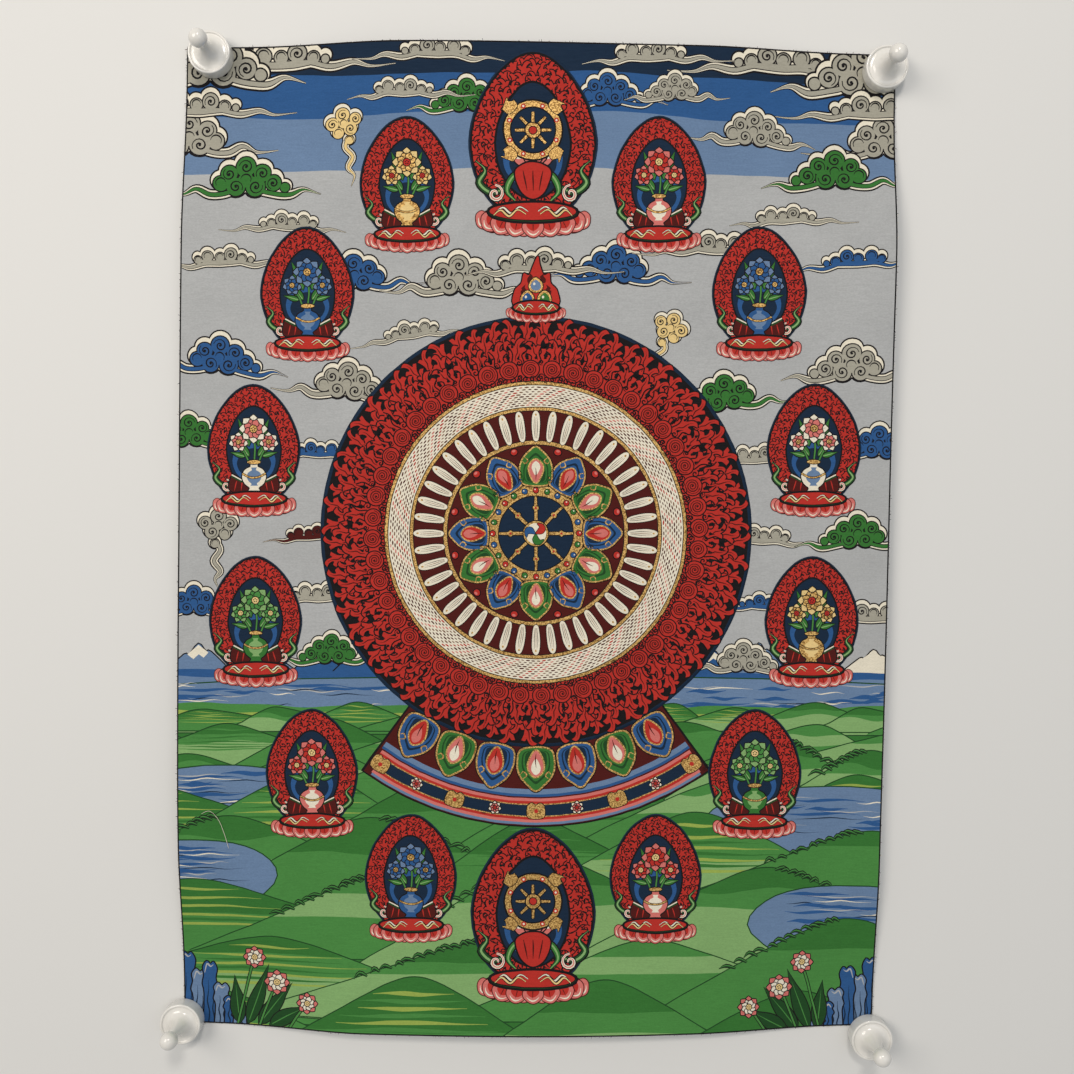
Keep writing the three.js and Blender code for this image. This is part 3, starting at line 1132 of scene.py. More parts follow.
def cut_edge():
    """The sealed cut edge of the cloth: dark thread with single paler ends in it."""
    material, tree, surface, coords = new_material("brocade edge, cut and sealed")
    ends = out(tree, "MapRange", stretched_noise(tree, coords, 0.8, 0.8, 1.0), 0.60, 0.68, 0, 1)
    fill(tree, surface, {
        "Base Color": out(tree, "Mix", ends, opaque("#1a171c"), opaque("#a59c8c"), data_type="RGBA"),
        "Normal": out(tree, "Bump", {"Height": ends, "Distance": 0.2 * MM}), "Roughness": 0.9,
    })
    return material


def moulded_plastic():
    """White ABS, injection moulded and polished: an even milk white with a clear gloss and the
    very slight ripple of a moulded skin."""
    material, tree, surface, coords = new_material("ABS, white, gloss moulded")
    cloudy = out(tree, "MapRange", stretched_noise(tree, coords, 9, 9), *MID_NOISE, 0, 1)
    skin = stretched_noise(tree, coords, 3, 3, 1.0)
    fill(tree, surface, {
        "Base Color": out(tree, "Mix", cloudy, opaque("#dfddd6"), opaque("#e5e3dd"), data_type="RGBA"),
        "Normal": out(tree, "Bump", {"Height": skin, "Distance": 0.02 * MM}),
        "Roughness": out(tree, "MapRange", skin, *MID_NOISE, 0.16, 0.24), "IOR": 1.53,
        "Coat Weight": 0.3, "Coat Roughness": 0.06,
    })
    return material


# ---------------------------------------------------------------- the picture in the weave


# The width and height that level bands are drawn for, in millimetres.
BAND_REACH = (500, 690)


def bands(rows):
    """Level bands with gently waving tops, from the top down. Each row is how far down it
    starts, its thread, and the height, length and start of its wave, in millimetres."""
    layers = []
    for down, name, height, length, start in rows:
        top = []
        for i in range(81):
            u = -0.03 + 1.06 * i / 80
            wave = height * math.sin(TAU * (u * BAND_REACH[0] + start) / length)
            wave += 0.4 * height * math.sin(TAU * (u * BAND_REACH[0] + 2 * start) / length * 2.3)
            top.append(on_panel(u, down / BAND_REACH[1]) + wave * 1j)
        foot = -760j
        layers.append(([top[0].real + foot] + top + [top[-1].real + foot], name))
    return layers


def flank(foot, wide, tall, lean, t):
    """A point on a hill's outline. From -0.5 to 0.5 it goes from foot to foot over a rounded top,
    and past that the flanks run on down."""
    rise, top = math.cos(math.pi * t), 0.1
    reach = math.sqrt(0.25 + top ** 2) - top
    aside = math.sqrt((reach * (1 - rise) + top) ** 2 - top ** 2)
    return foot + complex(math.copysign(wide * aside, t) + lean * max(0, rise), tall * rise)


# How far along its outline a hill's flanks run, on the scale of flank.
FLANK_END = 0.68


def mound(foot, wide, tall, lean=0.0, below=1.0, wave=0.0, steps=24):
    """A rounded hill, or only what lies below this share of its height, under a waving line."""
    turn = math.acos(below) / math.pi
    run = [(FLANK_END - turn) * i / steps for i in range(steps + 1)]
    left = [flank(foot, wide, tall, lean, -FLANK_END + t) for t in run]
    right = [flank(foot, wide, tall, lean, turn + t) for t in run]
    ends = flank(foot, wide, tall, lean, -turn), flank(foot, wide, tall, lean, turn)
    across = []
    for i in range(1, 12) if below < 1 else ():
        level = ends[0] * (1 - i / 12) + ends[1] * i / 12
        across.append(level + 1j * wave * math.sin(math.pi * i / 12) * math.cos(5.5 * i / 12))
    return left + across + right


def fronds(foot, wide, tall, lean, first, last, count, chance):
    """Drooping sprays of needles along a stretch of a hill's ridge."""
    layers = []
    side = 1 if first < last else -1
    for i in range(count):
        spot = flank(foot, wide, tall, lean, first + (last - first) * i / count)
        length = chance.uniform(4.5, 11)
        run = [spot - side * 1.5 - 1j, spot + complex(side * length * 0.5, chance.uniform(0.5, 2)),
               spot + complex(side * length, chance.uniform(-3.5, -1))]
        layers += strokes(curve(run, 3), ("ink", 3.1, 0.5, 0.2), ("forest", 1.9, 0.5, 0.1))
        layers += strokes(curve([p + 0.3j for p in run], 3), ("moss", 0.7, 0.4, 0.1))
    return layers


def furrows(foot, wide, tall, lean, names, chance):
    """Level stripes across the lower half of a hill, as of tilled fields."""
    layers = []
    for i in range(9):
        turn = math.acos(max(-0.2, 0.80 - 0.09 * i)) / math.pi
        left, right = (flank(foot, wide, tall, lean, side * turn) for side in (-1, 1))
        inset = (right - left) * chance.uniform(0.02, 0.12)
        run = []
        for t in (0, 0.2, 0.4, 0.6, 0.8, 1):
            run.append(left + inset + (right - left - 2 * inset) * t + 0.5j * math.sin(7 * t + i))
        layers += strokes(curve(run, 3), (names[i % len(names)], tall * 0.055, 0.1, 0.1))
    return layers


# The rows of hills: how far down their feet lie, and how wide and tall they are.
HILL_ROWS = [
    (468, 76, 13), (488, 96, 20), (512, 118, 28), (542, 142, 36), (577, 168, 43), (616, 190, 48),
    (660, 206, 52), (708, 214, 52),
]
# The threads of a hill's body, middle and foot, and those of its field strips.
HILL_THREADS = (
    ("leaf", "moss", "pale_green"), ("leaf", "leaf", "moss"), ("moss", "pale_green", "moss"),
    ("leaf", "moss", "moss"),
)
FIELD_THREADS = (("lime", "moss"), ("lime", "leaf"), ("moss", "leaf"))
# The lakes: the row of hills that each lies behind, its ends, how far down, and its height.
LAKES = [(3, -290, -160, 500, 30), (4, 118, 290, 515, 36), (5, -300, -188, 553, 32), (6, 150, 290, 586, 36)]
# The thread and width of each ripple, in turn.
RIPPLES = (("royal", 3.2), ("mist", 0.9), ("royal", 2.2), ("cream", 0.8), ("navy", 0.8), ("royal", 2.6))


def lake(left, right, down, tall, ripples=20):
    """A sheet of water between hills, with level ripples."""
    chance = random.Random(down)
    wide = right - left
    rim = ((0, -0.9), (0.12, -0.16), (0.5, 0.06), (0.88, -0.16), (1, -0.9), (0.5, -1.9))
    shore = loop(*(complex(left + wide * x, -down + tall * z) for x, z in rim))
    layers = edged(shore, "sky", 0.9, "forest")
    for i in range(ripples):
        length, fall = chance.uniform(18, 56), tall * (0.12 + 0.9 * i / ripples)
        at = complex(chance.uniform(left + 0.1 * wide, right - 0.1 * wide - length), -down - fall)
        run = [at + complex(length * t, 0.7 * math.sin(9 * t + i)) for t in (0, 0.25, 0.5, 0.75, 1)]
        layers += strokes(curve(run, 3), (*RIPPLES[i % len(RIPPLES)], 0.1, 0.1))
    return layers


def hills():
    """Rows of soft hills, each row over the feet of the one behind it, with lakes between them.
    A hill pales by level bands towards its foot."""
    chance = random.Random(11)
    layers = []
    for k, (down, wide, tall) in enumerate(HILL_ROWS):
        for row, *water in LAKES:
            if row == k:
                layers += lake(*water)
        x = -330 + (k % 2) * wide / 2
        while x < 330:
            w, t = wide * chance.uniform(0.9, 1.25), tall * chance.uniform(0.7, 1.15)
            shape = complex(x, -down), w, t, chance.uniform(-16, 16)
            body, middle, low = chance.choice(HILL_THREADS)
            layers += edged(mound(*shape), body, 0.8, "forest")
            layers.append((mound(*shape, chance.uniform(0.55, 0.72), chance.uniform(-4, 4)), middle))
            layers.append((mound(*shape, chance.uniform(0.22, 0.42), chance.uniform(-3, 3)), low))
            kind = chance.random()
            if kind < 0.34:
                layers += furrows(*shape, chance.choice(FIELD_THREADS), chance)
            elif kind > 0.62 and k > 1:
                side = chance.choice((-1, 1))
                layers += fronds(*shape, side * 0.06, side * 0.42, 7 + k, chance)
            x += wide * chance.uniform(0.6, 0.78)
    return layers


# A peak's skyline between its feet and the snow on it, as shares of its width and height.
PEAK_TOP = ((0.28, 0.62), (0.36, 0.6), (0.5, 1), (0.60, 0.74), (0.68, 0.72))
PEAK_SNOW = ((0.33, 0.62), (0.5, 0.96), (0.64, 0.7), (0.57, 0.52), (0.5, 0.64), (0.42, 0.46))


def peaks():
    """A row of small snow peaks on the skyline."""
    chance = random.Random(5)
    layers = []
    x = -262
    while x < 250:
        wide, tall = chance.uniform(34, 54), chance.uniform(13, 22)
        foot = complex(x, -432)
        top, snow = (
            [foot + complex(wide * a, tall * b) for a, b in knots] for knots in (PEAK_TOP, PEAK_SNOW)
        )
        face = chance.choice(("sky", "royal", "lemon", "cream"))
        body = curve([foot, *top, foot + wide], 3) + [foot + wide - 3j, foot - 3j]
        layers += edged(body, face, 0.9) + [(snow, "cream")]
        x += wide * chance.uniform(0.7, 0.95)
    return layers


# Where each cloud lies: its middle, kind, size, turn, and 1 where it is mirrored.
CLOUD_PLACES = [
    (-176 - 9j, "wisp", 1.25, 0, 0), (-228 - 12j, "grey", 1.45, 0, 0), (-243 - 62j, "grey", 1.25, 0, 1),
    (-236 - 40j, "wisp", 1.1, 0, 0), (164 - 13j, "wisp", 1.25, 0, 1), (222 - 20j, "grey", 1.4, 0, 1),
    (236 - 66j, "grey", 1.15, 0, 0), (228 - 44j, "wisp", 1.1, 0, 1), (-70 - 6j, "wisp", 0.95, 0, 1),
    (74 - 8j, "wisp", 0.95, 0, 0), (-203 - 92j, "green", 1.15, 0, 0), (-219 - 146j, "wisp", 0.85, 0, 0),
    (-132 - 62j, "warm", 0.85, 8, 1), (-128 - 158j, "blue", 1.05, 4, 1), (-56 - 160j, "grey", 1.10, 0, 0),
    (-50 - 38j, "green", 0.9, 0, 1), (46 - 34j, "blue", 0.9, 0, 0), (52 - 152j, "blue", 1.05, -3, 1),
    (122 - 138j, "wisp", 0.95, 0, 1), (146 - 60j, "grey", 0.95, -4, 0), (202 - 88j, "green", 1.1, 0, 1),
    (216 - 148j, "stream", 0.85, 4, 1), (-222 - 214j, "blue", 1.05, -4, 0),
    (-134 - 232j, "grey", 1.05, -6, 0), (128 - 240j, "green", 1.0, 6, 1), (214 - 220j, "grey", 1.05, 0, 1),
    (-226 - 338j, "smoke", 0.9, 0, 0), (-160 - 336j, "dusk", 0.7, 0, 0), (154 - 338j, "wisp", 0.8, 0, 1),
    (220 - 336j, "green", 0.95, 0, 1), (-146 - 418j, "green", 0.85, 0, 1), (142 - 424j, "grey", 0.85, 0, 0),
    (-88 - 196j, "wisp", 0.75, 10, 1), (86 - 200j, "warm", 0.8, -20, 0), (-4 - 150j, "wisp", 1.0, 0, 0),
    (-94 - 32j, "wisp", 0.8, 0, 0), (92 - 32j, "grey", 0.75, 0, 1), (-172 - 122j, "wisp", 0.8, 0, 1),
    (168 - 118j, "wisp", 0.8, 0, 0), (-244 - 266j, "green", 0.9, 0, 1), (234 - 274j, "blue", 0.9, 0, 0),
    (-154 - 278j, "stream", 0.75, 0, 1), (150 - 282j, "wisp", 0.8, 0, 0), (-154 - 378j, "wisp", 0.85, 0, 0),
    (158 - 384j, "stream", 0.75, 0, 1), (-242 - 384j, "blue", 0.85, 0, 0), (230 - 392j, "wisp", 0.9, 0, 1),
]


def clouds():
    layers = []
    for at, kind, size, turn, mirror in CLOUD_PLACES:
        shape, core = CLOUDS[kind]
        layers += moved(cloud(*CLOUD_SHAPES[shape], core), at, size, turn, mirror)
    return layers


# One side of a rock from its foot round its top and down again: how far out, and the share of
# its height with what is added to it.
ROCK_OUTLINE = (
    (-4.6, 0, -4), (-4.2, 0.5, 0), (-5.6, 0.66, 0), (-4.4, 0.8, 0), (-5.2, 0.93, 0), (-2.2, 1, 1),
    (0.6, 1, -1.2), (3.0, 1, 0.4), (5.4, 0.9, 0), (4.2, 0.76, 0), (5.2, 0.62, 0), (4.4, 0.4, 0), (4.8, 0, -4),
)
ROCK_CAP = ((-3.9, 0.84, 0), (-2.0, 1, -1.0), (0.6, 1, -3.0), (2.8, 1, -1.6))


def rock(foot, side, tall, name):
    """A tall blue rock with two cracks and a pale line along its top."""
    outline, cap = (
        [foot + complex(side * x, share * tall + more) for x, share, more in knots]
        for knots in (ROCK_OUTLINE, ROCK_CAP)
    )
    layers = edged(loop(*outline, steps=3), name, 1.0)
    for x, low, high in ((-1.6, 0.05, 0.72), (1.9, 0.0, 0.54)):
        crack = []
        for t in (0, 0.25, 0.5, 0.75, 1):
            crack.append(foot + complex(side * (x + 0.7 * math.sin(9 * t)), tall * (low + (high - low) * t)))
        layers += strokes(curve(crack, 3), ("navy", 1.0, 0.8, 0.2))
    return layers + strokes(curve(cap, 3), ("mist", 1.2, 0.4, 0.3))


def rocks_and_leaves():
    """Blue rocks, lotus leaves and lotus flowers in the two lower corners."""
    layers = []
    for side, foot in ((1, -250 - 690j), (-1, 232 - 692j)):
        for along, tall, name in ((-3, 54, "royal"), (5, 41, "sky"), (13, 47, "royal"), (21, 31, "sky"),
                                  (28, 21, "royal"), (34, 12, "sky")):
            layers += rock(foot + side * along, side, tall, name)
        for angle, length, at in ((70, 40, 40), (52, 34, 48), (95, 30, 34), (30, 28, 56)):
            tilt = angle if side > 0 else 180 - angle
            layers += moved(leaf(length, 11, "forest", "moss"), foot + side * at + 2j, degrees=tilt - 90)
        for at, up, radius in ((62, 34, 9), (84, 20, 7.5), (46, 52, 8)):
            head = foot + side * at + up * 1j
            stem = curve([foot + side * (at - 14), head - side * 6 - up * 0.4j, head])
            layers += strokes(stem, ("ink", 2.4), ("moss", 1.3))
            layers += bloom(head, radius, "pink", "cream", "lemon")
    return layers


def picture():
    """All that is woven into the ground, from the back of the scene to its front."""
    sky = [(-8, "navy", 0, 100, 0), (21, "royal", 1.6, 260, 40), (48, "sky", 2.2, 330, 150),
           (86, "mist", 2.0, 420, 260)]
    water = [(432, "royal", 0.5, 90, 0), (437, "sky", 0.5, 70, 20)]
    fields = [(456, "moss", 1.0, 120, 0), (461, "lime", 0.8, 90, 30), (464, "leaf", 0.9, 140, 60),
              (470, "pale_green", 0.9, 110, 10), (474, "leaf", 1.0, 130, 80)]
    layers = bands(sky) + peaks() + bands(water) + clouds()
    layers += lake(-330, 320, 437, 24, 90) + bands(fields) + hills()
    return layers + rocks_and_leaves()


# ---------------------------------------------------------------- the woven panel


def edge_outline(steps=120):
    """The panel's outline, anticlockwise."""
    run = [i / steps for i in range(steps)]
    top, right = [on_panel(t, 0) for t in run], [on_panel(1, t) for t in run]
    bottom, left = [on_panel(1 - t, 1) for t in run], [on_panel(0, 1 - t) for t in run]
    return anticlockwise(top + right + bottom + left)


def wavered(point, most, wave=14):
    """The point, strayed a little from where it was drawn, as a thread strays on the loom."""
    spot = Vector((point.real, point.imag, 0)) / wave
    return point + complex(noise.noise(spot), noise.noise(spot + Vector((0, 0, 5.5)))) * most


def shut_in(triangles, lines):
    """The triangles that can't be reached from outside without crossing one of the lines."""
    walls = {frozenset(line) for line in lines}
    sides = [[frozenset((a, b)) for a, b in zip(triple, triple[1:] + triple[:1])] for triple in triangles]
    beside = {}
    for k, three in enumerate(sides):
        for side in three:
            beside.setdefault(side, []).append(k)
    reached = [near[0] for side, near in beside.items() if len(near) == 1 and side not in walls]
    outer = set()
    while reached:
        k = reached.pop()
        if k not in outer:
            outer.add(k)
            reached += [other for side in sides[k] if side not in walls for other in beside[side]]
    return [triple for k, triple in enumerate(triangles) if k not in outer]


def keep_picture(mesh, front, backs, layers, pitch):
    """Puts the threads on the cloth: face by face in front, and at the corners of its back, where
    each corner has the mean of the threads round it."""
    tints = np.zeros((len(mesh.polygons), 4))
    tints[:len(front.polygons)] = values_of(front.attributes["thread_colour"].data, "color", 4)
    keep_colours(mesh, "thread_colour", "FACE", tints)
    around = [0, *(pitch * 0.6 * turned(90 * k + 45) for k in range(4))]
    dyes = np.array([thread(name or "ink") for _, name in layers])
    ghosts = np.zeros((len(mesh.vertices), 4))
    ghosts[-len(backs):] = np.mean([dyes[topmost(backs + by, layers)] for by in around], axis=0)
    keep_colours(mesh, "reverse_colour", "POINT", ghosts)


def closed_sheet(front, layers, pitch):
    """The cloth in its folds: the drawing in front, a plainer back behind it, and a rim all
    round. The back carries the thread of the picture at each of its corners."""
    count = len(front.vertices)
    spots = values_of(front.vertices, "co", 3)
    places = (spots[:, 0] + 1j * spots[:, 2]) / MM
    faces = [tuple(face.vertices) for face in front.polygons]
    sides = {(a, b) for face in faces for a, b in zip(face, face[1:] + face[:1])}
    rim = sorted((a, b) for a, b in sides if (b, a) not in sides)
    edge = sorted({a for a, _ in rim})
    behind = {old: new for new, old in enumerate(edge)}
    across = np.arange(places.real.min() + pitch / 2, places.real.max(), pitch)
    down = np.arange(places.imag.min() + pitch / 2, places.imag.max(), pitch)
    grid = (across + 1j * down[:, None]).ravel()
    grid = grid[[layers[k][1] is not None for k in topmost(grid, layers)]]
    lines = [(behind[a], behind[b]) for a, b in rim]
    backs, triangles = joined_up([*places[edge], *grid], lines, 0.0001, 0)
    if len(backs) != len(edge) + len(grid):
        raise RuntimeError("the back of the cloth has lost a corner of its rim")
    triangles = shut_in(triangles.tolist(), lines)
    faces += [tuple(count + k for k in reversed(triangle)) for triangle in triangles]
    faces += [(b, a, count + behind[a], count + behind[b]) for a, b in rim]
    corners = []
    for k, place in enumerate([*places, *backs]):
        depth = stand_off(place) * MM + (sizes().thickness if k < count else 0)
        corners.append((place.real * MM, -depth, place.imag * MM))
    mesh = new_mesh("woven_panel", corners, faces)
    materials = [0] * len(front.polygons) + [1] * len(triangles) + [2] * len(rim)
    mesh.polygons.foreach_set("material_index", materials)
    keep_picture(mesh, front, backs, layers, pitch)
    return mesh


class THANGKA_OT_weave_panel(bpy.types.Operator):
    """Weave the panel with its sky, water and hills, and hang it in its folds"""

    bl_idname = "thangka.weave_panel"
    bl_label = "Weave the panel"

    def execute(self, context):
        outline = edge_outline()
        inside = grown(outline, -sizes().edge_line / MM)
        waver = sizes().waver / MM
        layers = [([wavered(p, waver) for p in drawn], name) for drawn, name in picture()]
        layers += [outside(inside, "ink"), outside(outline, None)]
        front = flat_drawing("woven_panel", layers, sizes().mesh_pitch / MM, outline)
        cloth = closed_sheet(front, layers, sizes().back_pitch / MM)
        panel = shown("woven_panel", cloth, brocade(), reverse_weave(), cut_edge())
        map_flat(cloth)
        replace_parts(belongs(panel), "thangka_panel")
        return {"FINISHED"}


# ---------------------------------------------------------------- the mandala


MIDDLE = -3 - 335j
# The rings of the mandala, as shares of its radius: where each ends, and its thread.
RINGS = [
    (1, "navy"), (0.984, "ink"), (0.850, "red"), (0.704, "ink"), (0.700, "gilt"), (0.687, "ink"),
    (0.683, "cream"), (0.586, "ink"), (0.582, "gilt"), (0.569, "ink"), (0.565, "maroon"), (0.432, "ink"),
    (0.428, "gilt"), (0.412, "ink"), (0.408, "maroon"), (0.228, "ink"), (0.224, "gilt"), (0.176, "ink"),
    (0.171, "navy"),
]


def mandala_ground(steps=120):
    radius = bpy.context.scene.thangka_mandala.radius / MM
    around = [cmath.exp(1j * TAU * i / steps) for i in range(steps)]
    return [([MIDDLE + radius * share * way for way in around], name) for share, name in RINGS]


def flame_sector(seed=3):
    """One part of the mandala's rim of flames, in its own place above a middle at nought. Its
    left side carries on at its right, so that copies set round the middle join up."""
    settings = bpy.context.scene.thangka_mandala
    step, radius = 360 / settings.flame_parts, settings.radius / MM

    def row(at, drawings, per_part, shift=0.0):
        placed = []
        for i in range(-2, per_part + 2):
            angle = 90 + step / 2 - step * (i + 0.5 + shift) / per_part
            drawing, sway = drawings[i % per_part]
            placed += moved(drawing, at * radius * turned(angle), degrees=angle - 90 + sway)
        return placed

    def inked(outline, sway):
        return [(outline, "ink")], chance.uniform(-sway, sway)

    chance = random.Random(seed)
    layers = []
    # Each row of tongues: its share of the radius, how many, and their height and width.
    for k, (at, count, tall, wide) in enumerate(
        ((0.892, 6, 14.0, 7.6), (0.842, 6, 14.0, 7.4), (0.800, 5, 13.5, 8.4))
    ):
        gaps = [inked(ink_drop(tall * chance.uniform(0.45, 0.65), chance.uniform(2.6, 3.8)), 14)
                for _ in range(count)]
        tongues = []
        for _ in range(count):
            lean, size = chance.uniform(-0.25, 0.25), chance.uniform(0.86, 1.12)
            tongue = moved(forked_flame(tall * size, wide * size, lean), mirror=chance.random() < 0.5)
            tongues.append((tongue, chance.uniform(-8, 8)))
        layers += row(at + 0.010, gaps, count, 0.5 * (k % 2) + 0.5) + row(at, tongues, count, 0.5 * (k % 2))
    drops = [inked(ink_drop(chance.uniform(3.5, 6.0), chance.uniform(1.8, 2.6)), 30) for _ in range(10)]
    layers += row(0.802, drops, 10, 0.5) + row(0.858, drops[::-1], 10, 0.1)
    curls = []
    for _ in range(4):
        curl = snail(chance.uniform(5.4, 6.6), chance.choice((-1, 1)))
        curls.append((curl, chance.uniform(-40, 40)))
    layers += row(0.758, curls, 4, 0.25)
    commas = []
    for _ in range(12):
        wound = spiral(0, chance.uniform(2.0, 3.0), 1.3, 0, chance.choice((-1, 1)), 9)
        commas.append(inked(ribbon(wound, 1.0, 0.5, 0.8), 180))
    layers += row(0.788, commas[:4], 4, 0.75) + row(0.722, commas[4:8], 4, 0.75) + row(0.712, commas, 12)
    beyond = [2 * turned(90 - step / 2), 3, -3j, -3, 2 * turned(90 + step / 2), 0j]
    return layers + [([radius * point for point in beyond], None)]


def jewel(name):
    return edged(oval(0, 3.6, steps=12), name, 0.5) + [(oval(-0.5 + 0.6j, 1.1, steps=6), "cream")]


def spoke():
    bar, knob = ribbon([0j, 8j, 17j], 2.0, 1.0, 0.7), oval(9j, 4.2, 3.4, 12)
    return [
        (grown(bar, 0.6), "ink"), (grown(knob, 0.6), "ink"), (bar, "gilt"), (knob, "gilt"),
        (oval(9j, 1.6, steps=8), "red"),
    ]


def swirl():
    """Three coloured commas that chase one another round the hub."""
    comma = loop(0.2 + 0.3j, 4.6 + 0.2j, 6.6 + 3.4j, 4.6 + 6.4j, 1.0 + 7.0j, 2.6 + 4.8j, 1.4 + 2.4j)
    layers = edged(oval(0, 17.4, steps=28), "gilt", 0.7) + [(oval(0, 14.6, steps=28), "cream")]
    for i, name in enumerate(("red", "royal", "leaf")):
        layers += moved(edged(comma, name, 0.45), degrees=120 * i)
    return layers


def throne_petals():
    """The two kinds of large petal, which stand by turns."""
    return [lotus_petal("royal", "navy", "red", "pink"), lotus_petal("leaf", "forest", "pink", "cream")]


def lay_ring(name, drawings, level, radius, count, **values):
    """One piece of motifs in rings round the mandala's middle, at that radius in metres."""
    given = {
        "Middle": (MIDDLE.real * MM, 0, MIDDLE.imag * MM), "Rows": 1, "Radius": radius, "Count": count,
        "Row shift": 0.5, "Start": 0.0, "Sweep": TAU, "Size": 1.0,
    }
    given |= {label.replace("_", " ").capitalize(): value for label, value in values.items()}
    return lay(name, ring_tree(), drawings, level, given)


class THANGKA_OT_stitch_mandala(bpy.types.Operator):
    """Stitch the round design: its rings, flames, scrolls, ribs, lotus and wheel"""

    bl_idname = "thangka.stitch_mandala"
    bl_label = "Stitch the mandala"

    def execute(self, context):
        settings = context.scene.thangka_mandala
        radius = settings.radius
        lay_one("mandala_ground", mandala_ground(), 1)
        lay_ring("flame_rim", [flame_sector()], 2, 0.0, settings.flame_parts)
        threads = ("maroon", "bark", "red", "maroon", "pink", "bark", "maroon")
        dashes = [[(oval(0, 2.9, 0.85, 7), name)] for name in threads]
        lay_ring("dash_rows", dashes, 2, radius * 0.594, 150, rows=9, row_pitch=radius * 0.0100,
                 size_spread=0.25, turn_spread=0.15, seed=7)
        lay_ring("pale_ribs", [rib_petal()], 2, radius * 0.434, settings.ribs, size=0.83)
        lay_ring("lotus_petals", throne_petals(), 2, radius * 0.224, settings.petals, size=0.87)
        bead = edged(oval(0, 4.6, 4.2, 14), "red", 0.7) + [(oval(0.8j, 2.6, 1.8, 10), "pink")]
        half_way = math.pi / settings.petals
        lay_ring("lotus_beads", [bead], 3, radius * 0.388, settings.petals, start=half_way)
        lay_ring("wheel_spokes", [spoke()], 2, radius * 0.058, settings.spokes)
        lay_ring("wheel_jewels", [jewel("red"), jewel("royal"), jewel("leaf")], 3, radius * 0.2, 24)
        lay_one("wheel_hub", swirl(), 3, MIDDLE)
        return {"FINISHED"}


# ---------------------------------------------------------------- the seat and the crown


# The stripes of the seat, each over the last: its inner and outer radius, half the angle that it
# spans, and its thread.
SEAT_STRIPES = (
    (146, 207, 36.5, "ink"), (146, 206, 36, "maroon"), (180, 183.6, 35.6, "sky"),
    (183.6, 185.4, 35.6, "royal"), (186.4, 190.4, 35.3, "pink"), (188.6, 190.4, 35.3, "red"),
    (190.4, 191.2, 35.3, "gilt"), (191.2, 199.0, 35, "navy"), (199.0, 199.8, 35, "gilt"),
    (199.8, 203.6, 34.6, "red"), (201.6, 203.6, 34.6, "pink"), (203.6, 205.4, 34.4, "sky"),
)


def seat(steps=30):
    """The stepped seat under the mandala: striped arcs with gilt brackets and small flowers."""
    layers = []
    for inner, outer, half_angle, name in SEAT_STRIPES:
        ways = [turned(-90 - half_angle + 2 * half_angle * i / steps) for i in range(steps + 1)]
        band = [MIDDLE + outer * way for way in ways] + [MIDDLE + inner * way for way in ways[::-1]]
        layers.append((band, name))
    bracket = loop(-6 + 0j, -6 + 7j, -3 + 9.4j, 0 + 7.6j, 3 + 9.4j, 6 + 7j, 6 + 0j, 2.4 - 1.6j, -2.4 - 1.6j)
    studded = edged(bracket, "gilt", 0.6) + [(oval(3.6j, 3.0, steps=10), "red")]
    for angle in (-34, -17, 0, 17, 34):
        layers += moved(studded, MIDDLE + 199.2 * turned(angle - 90), degrees=angle)
    for angle in (-25.5, -8.5, 8.5, 25.5):
        layers += moved(bloom(0, 4.4, "cream", "pink", "red", 7), MIDDLE + 195 * turned(angle - 90))
    return layers


def crown():
    """Three jewels in flames on a lotus, over the mandala."""
    layers = []
    for angle, length in ((80, 15), (62, 14), (-80, 15), (-62, 14), (40, 13), (-40, 13)):
        layers += moved(petal_drawing(length, 9, "pink", "cream"), 0, degrees=angle)
    blaze = loop(
        -15 + 3j, -16 + 14j, -11 + 20j, -9 + 27j, -5 + 26j, -2 + 33j, 1.4 + 40j, 3 + 33j, 6 + 26j,
        10 + 27j, 11 + 20j, 16 + 14j, 15 + 3j,
    )
    layers += edged(blaze, "red", 1.0)
    for x, z, tall, mirror in ((-9, 12, 10, False), (9, 12, 10, True), (-4, 21, 10, True), (5, 21, 9, False)):
        layers += moved([(flame(tall), "maroon")], complex(x, z), 0.7, mirror=mirror)
    for at, name in ((-6.4 + 8j, "royal"), (6.4 + 8j, "leaf"), (0 + 18j, "sky")):
        stone = loop(*[at + p for p in (-4.4 - 3j, -4.8 + 2j, 0 + 6.6j, 4.8 + 2j, 4.4 - 3j, 0 - 5j)])
        layers += edged(stone, "gilt", 0.7) + [([at + (p - at) * 0.72 for p in stone], name)]
        layers += [(oval(at - 1.2 + 1.6j, 1.8, 2.2, 8), "cream")]
    return layers + moved(lotus_seat(40), 0j)


class THANGKA_OT_stitch_seat(bpy.types.Operator):
    """Stitch the lotus seat under the mandala and the jewels over it"""

    bl_idname = "thangka.stitch_seat"
    bl_label = "Stitch the seat and jewels"

    def execute(self, context):
        radius = context.scene.thangka_mandala.radius
        lay_one("seat_stripes", seat(), 0)
        count, sweep = 7, math.radians(71)
        start = -math.pi / 2 - sweep / 2 + sweep / count / 2
        lay_ring("seat_petals", throne_petals(), 2, radius + 0.6 * MM, count, start=start, sweep=sweep)
        lay_one("crown_jewels", crown(), 3, MIDDLE + radius / MM * 1j + 4j, 0.92)
        return {"FINISHED"}


# ---------------------------------------------------------------- the medallions

# They stand round an oval of this middle and these half axes, from the top one anticlockwise.
MEDALLION_RING = {"middle": -5 - 338j, "across": 199, "up": 268}
MEDALLION_KINDS = [
    "wheel", "gold", "blue", "white", "green", "pink", "blue", "wheel", "pink", "green", "gold",
    "white", "blue", "pink",
]
WHEEL_SIZE = 1.36


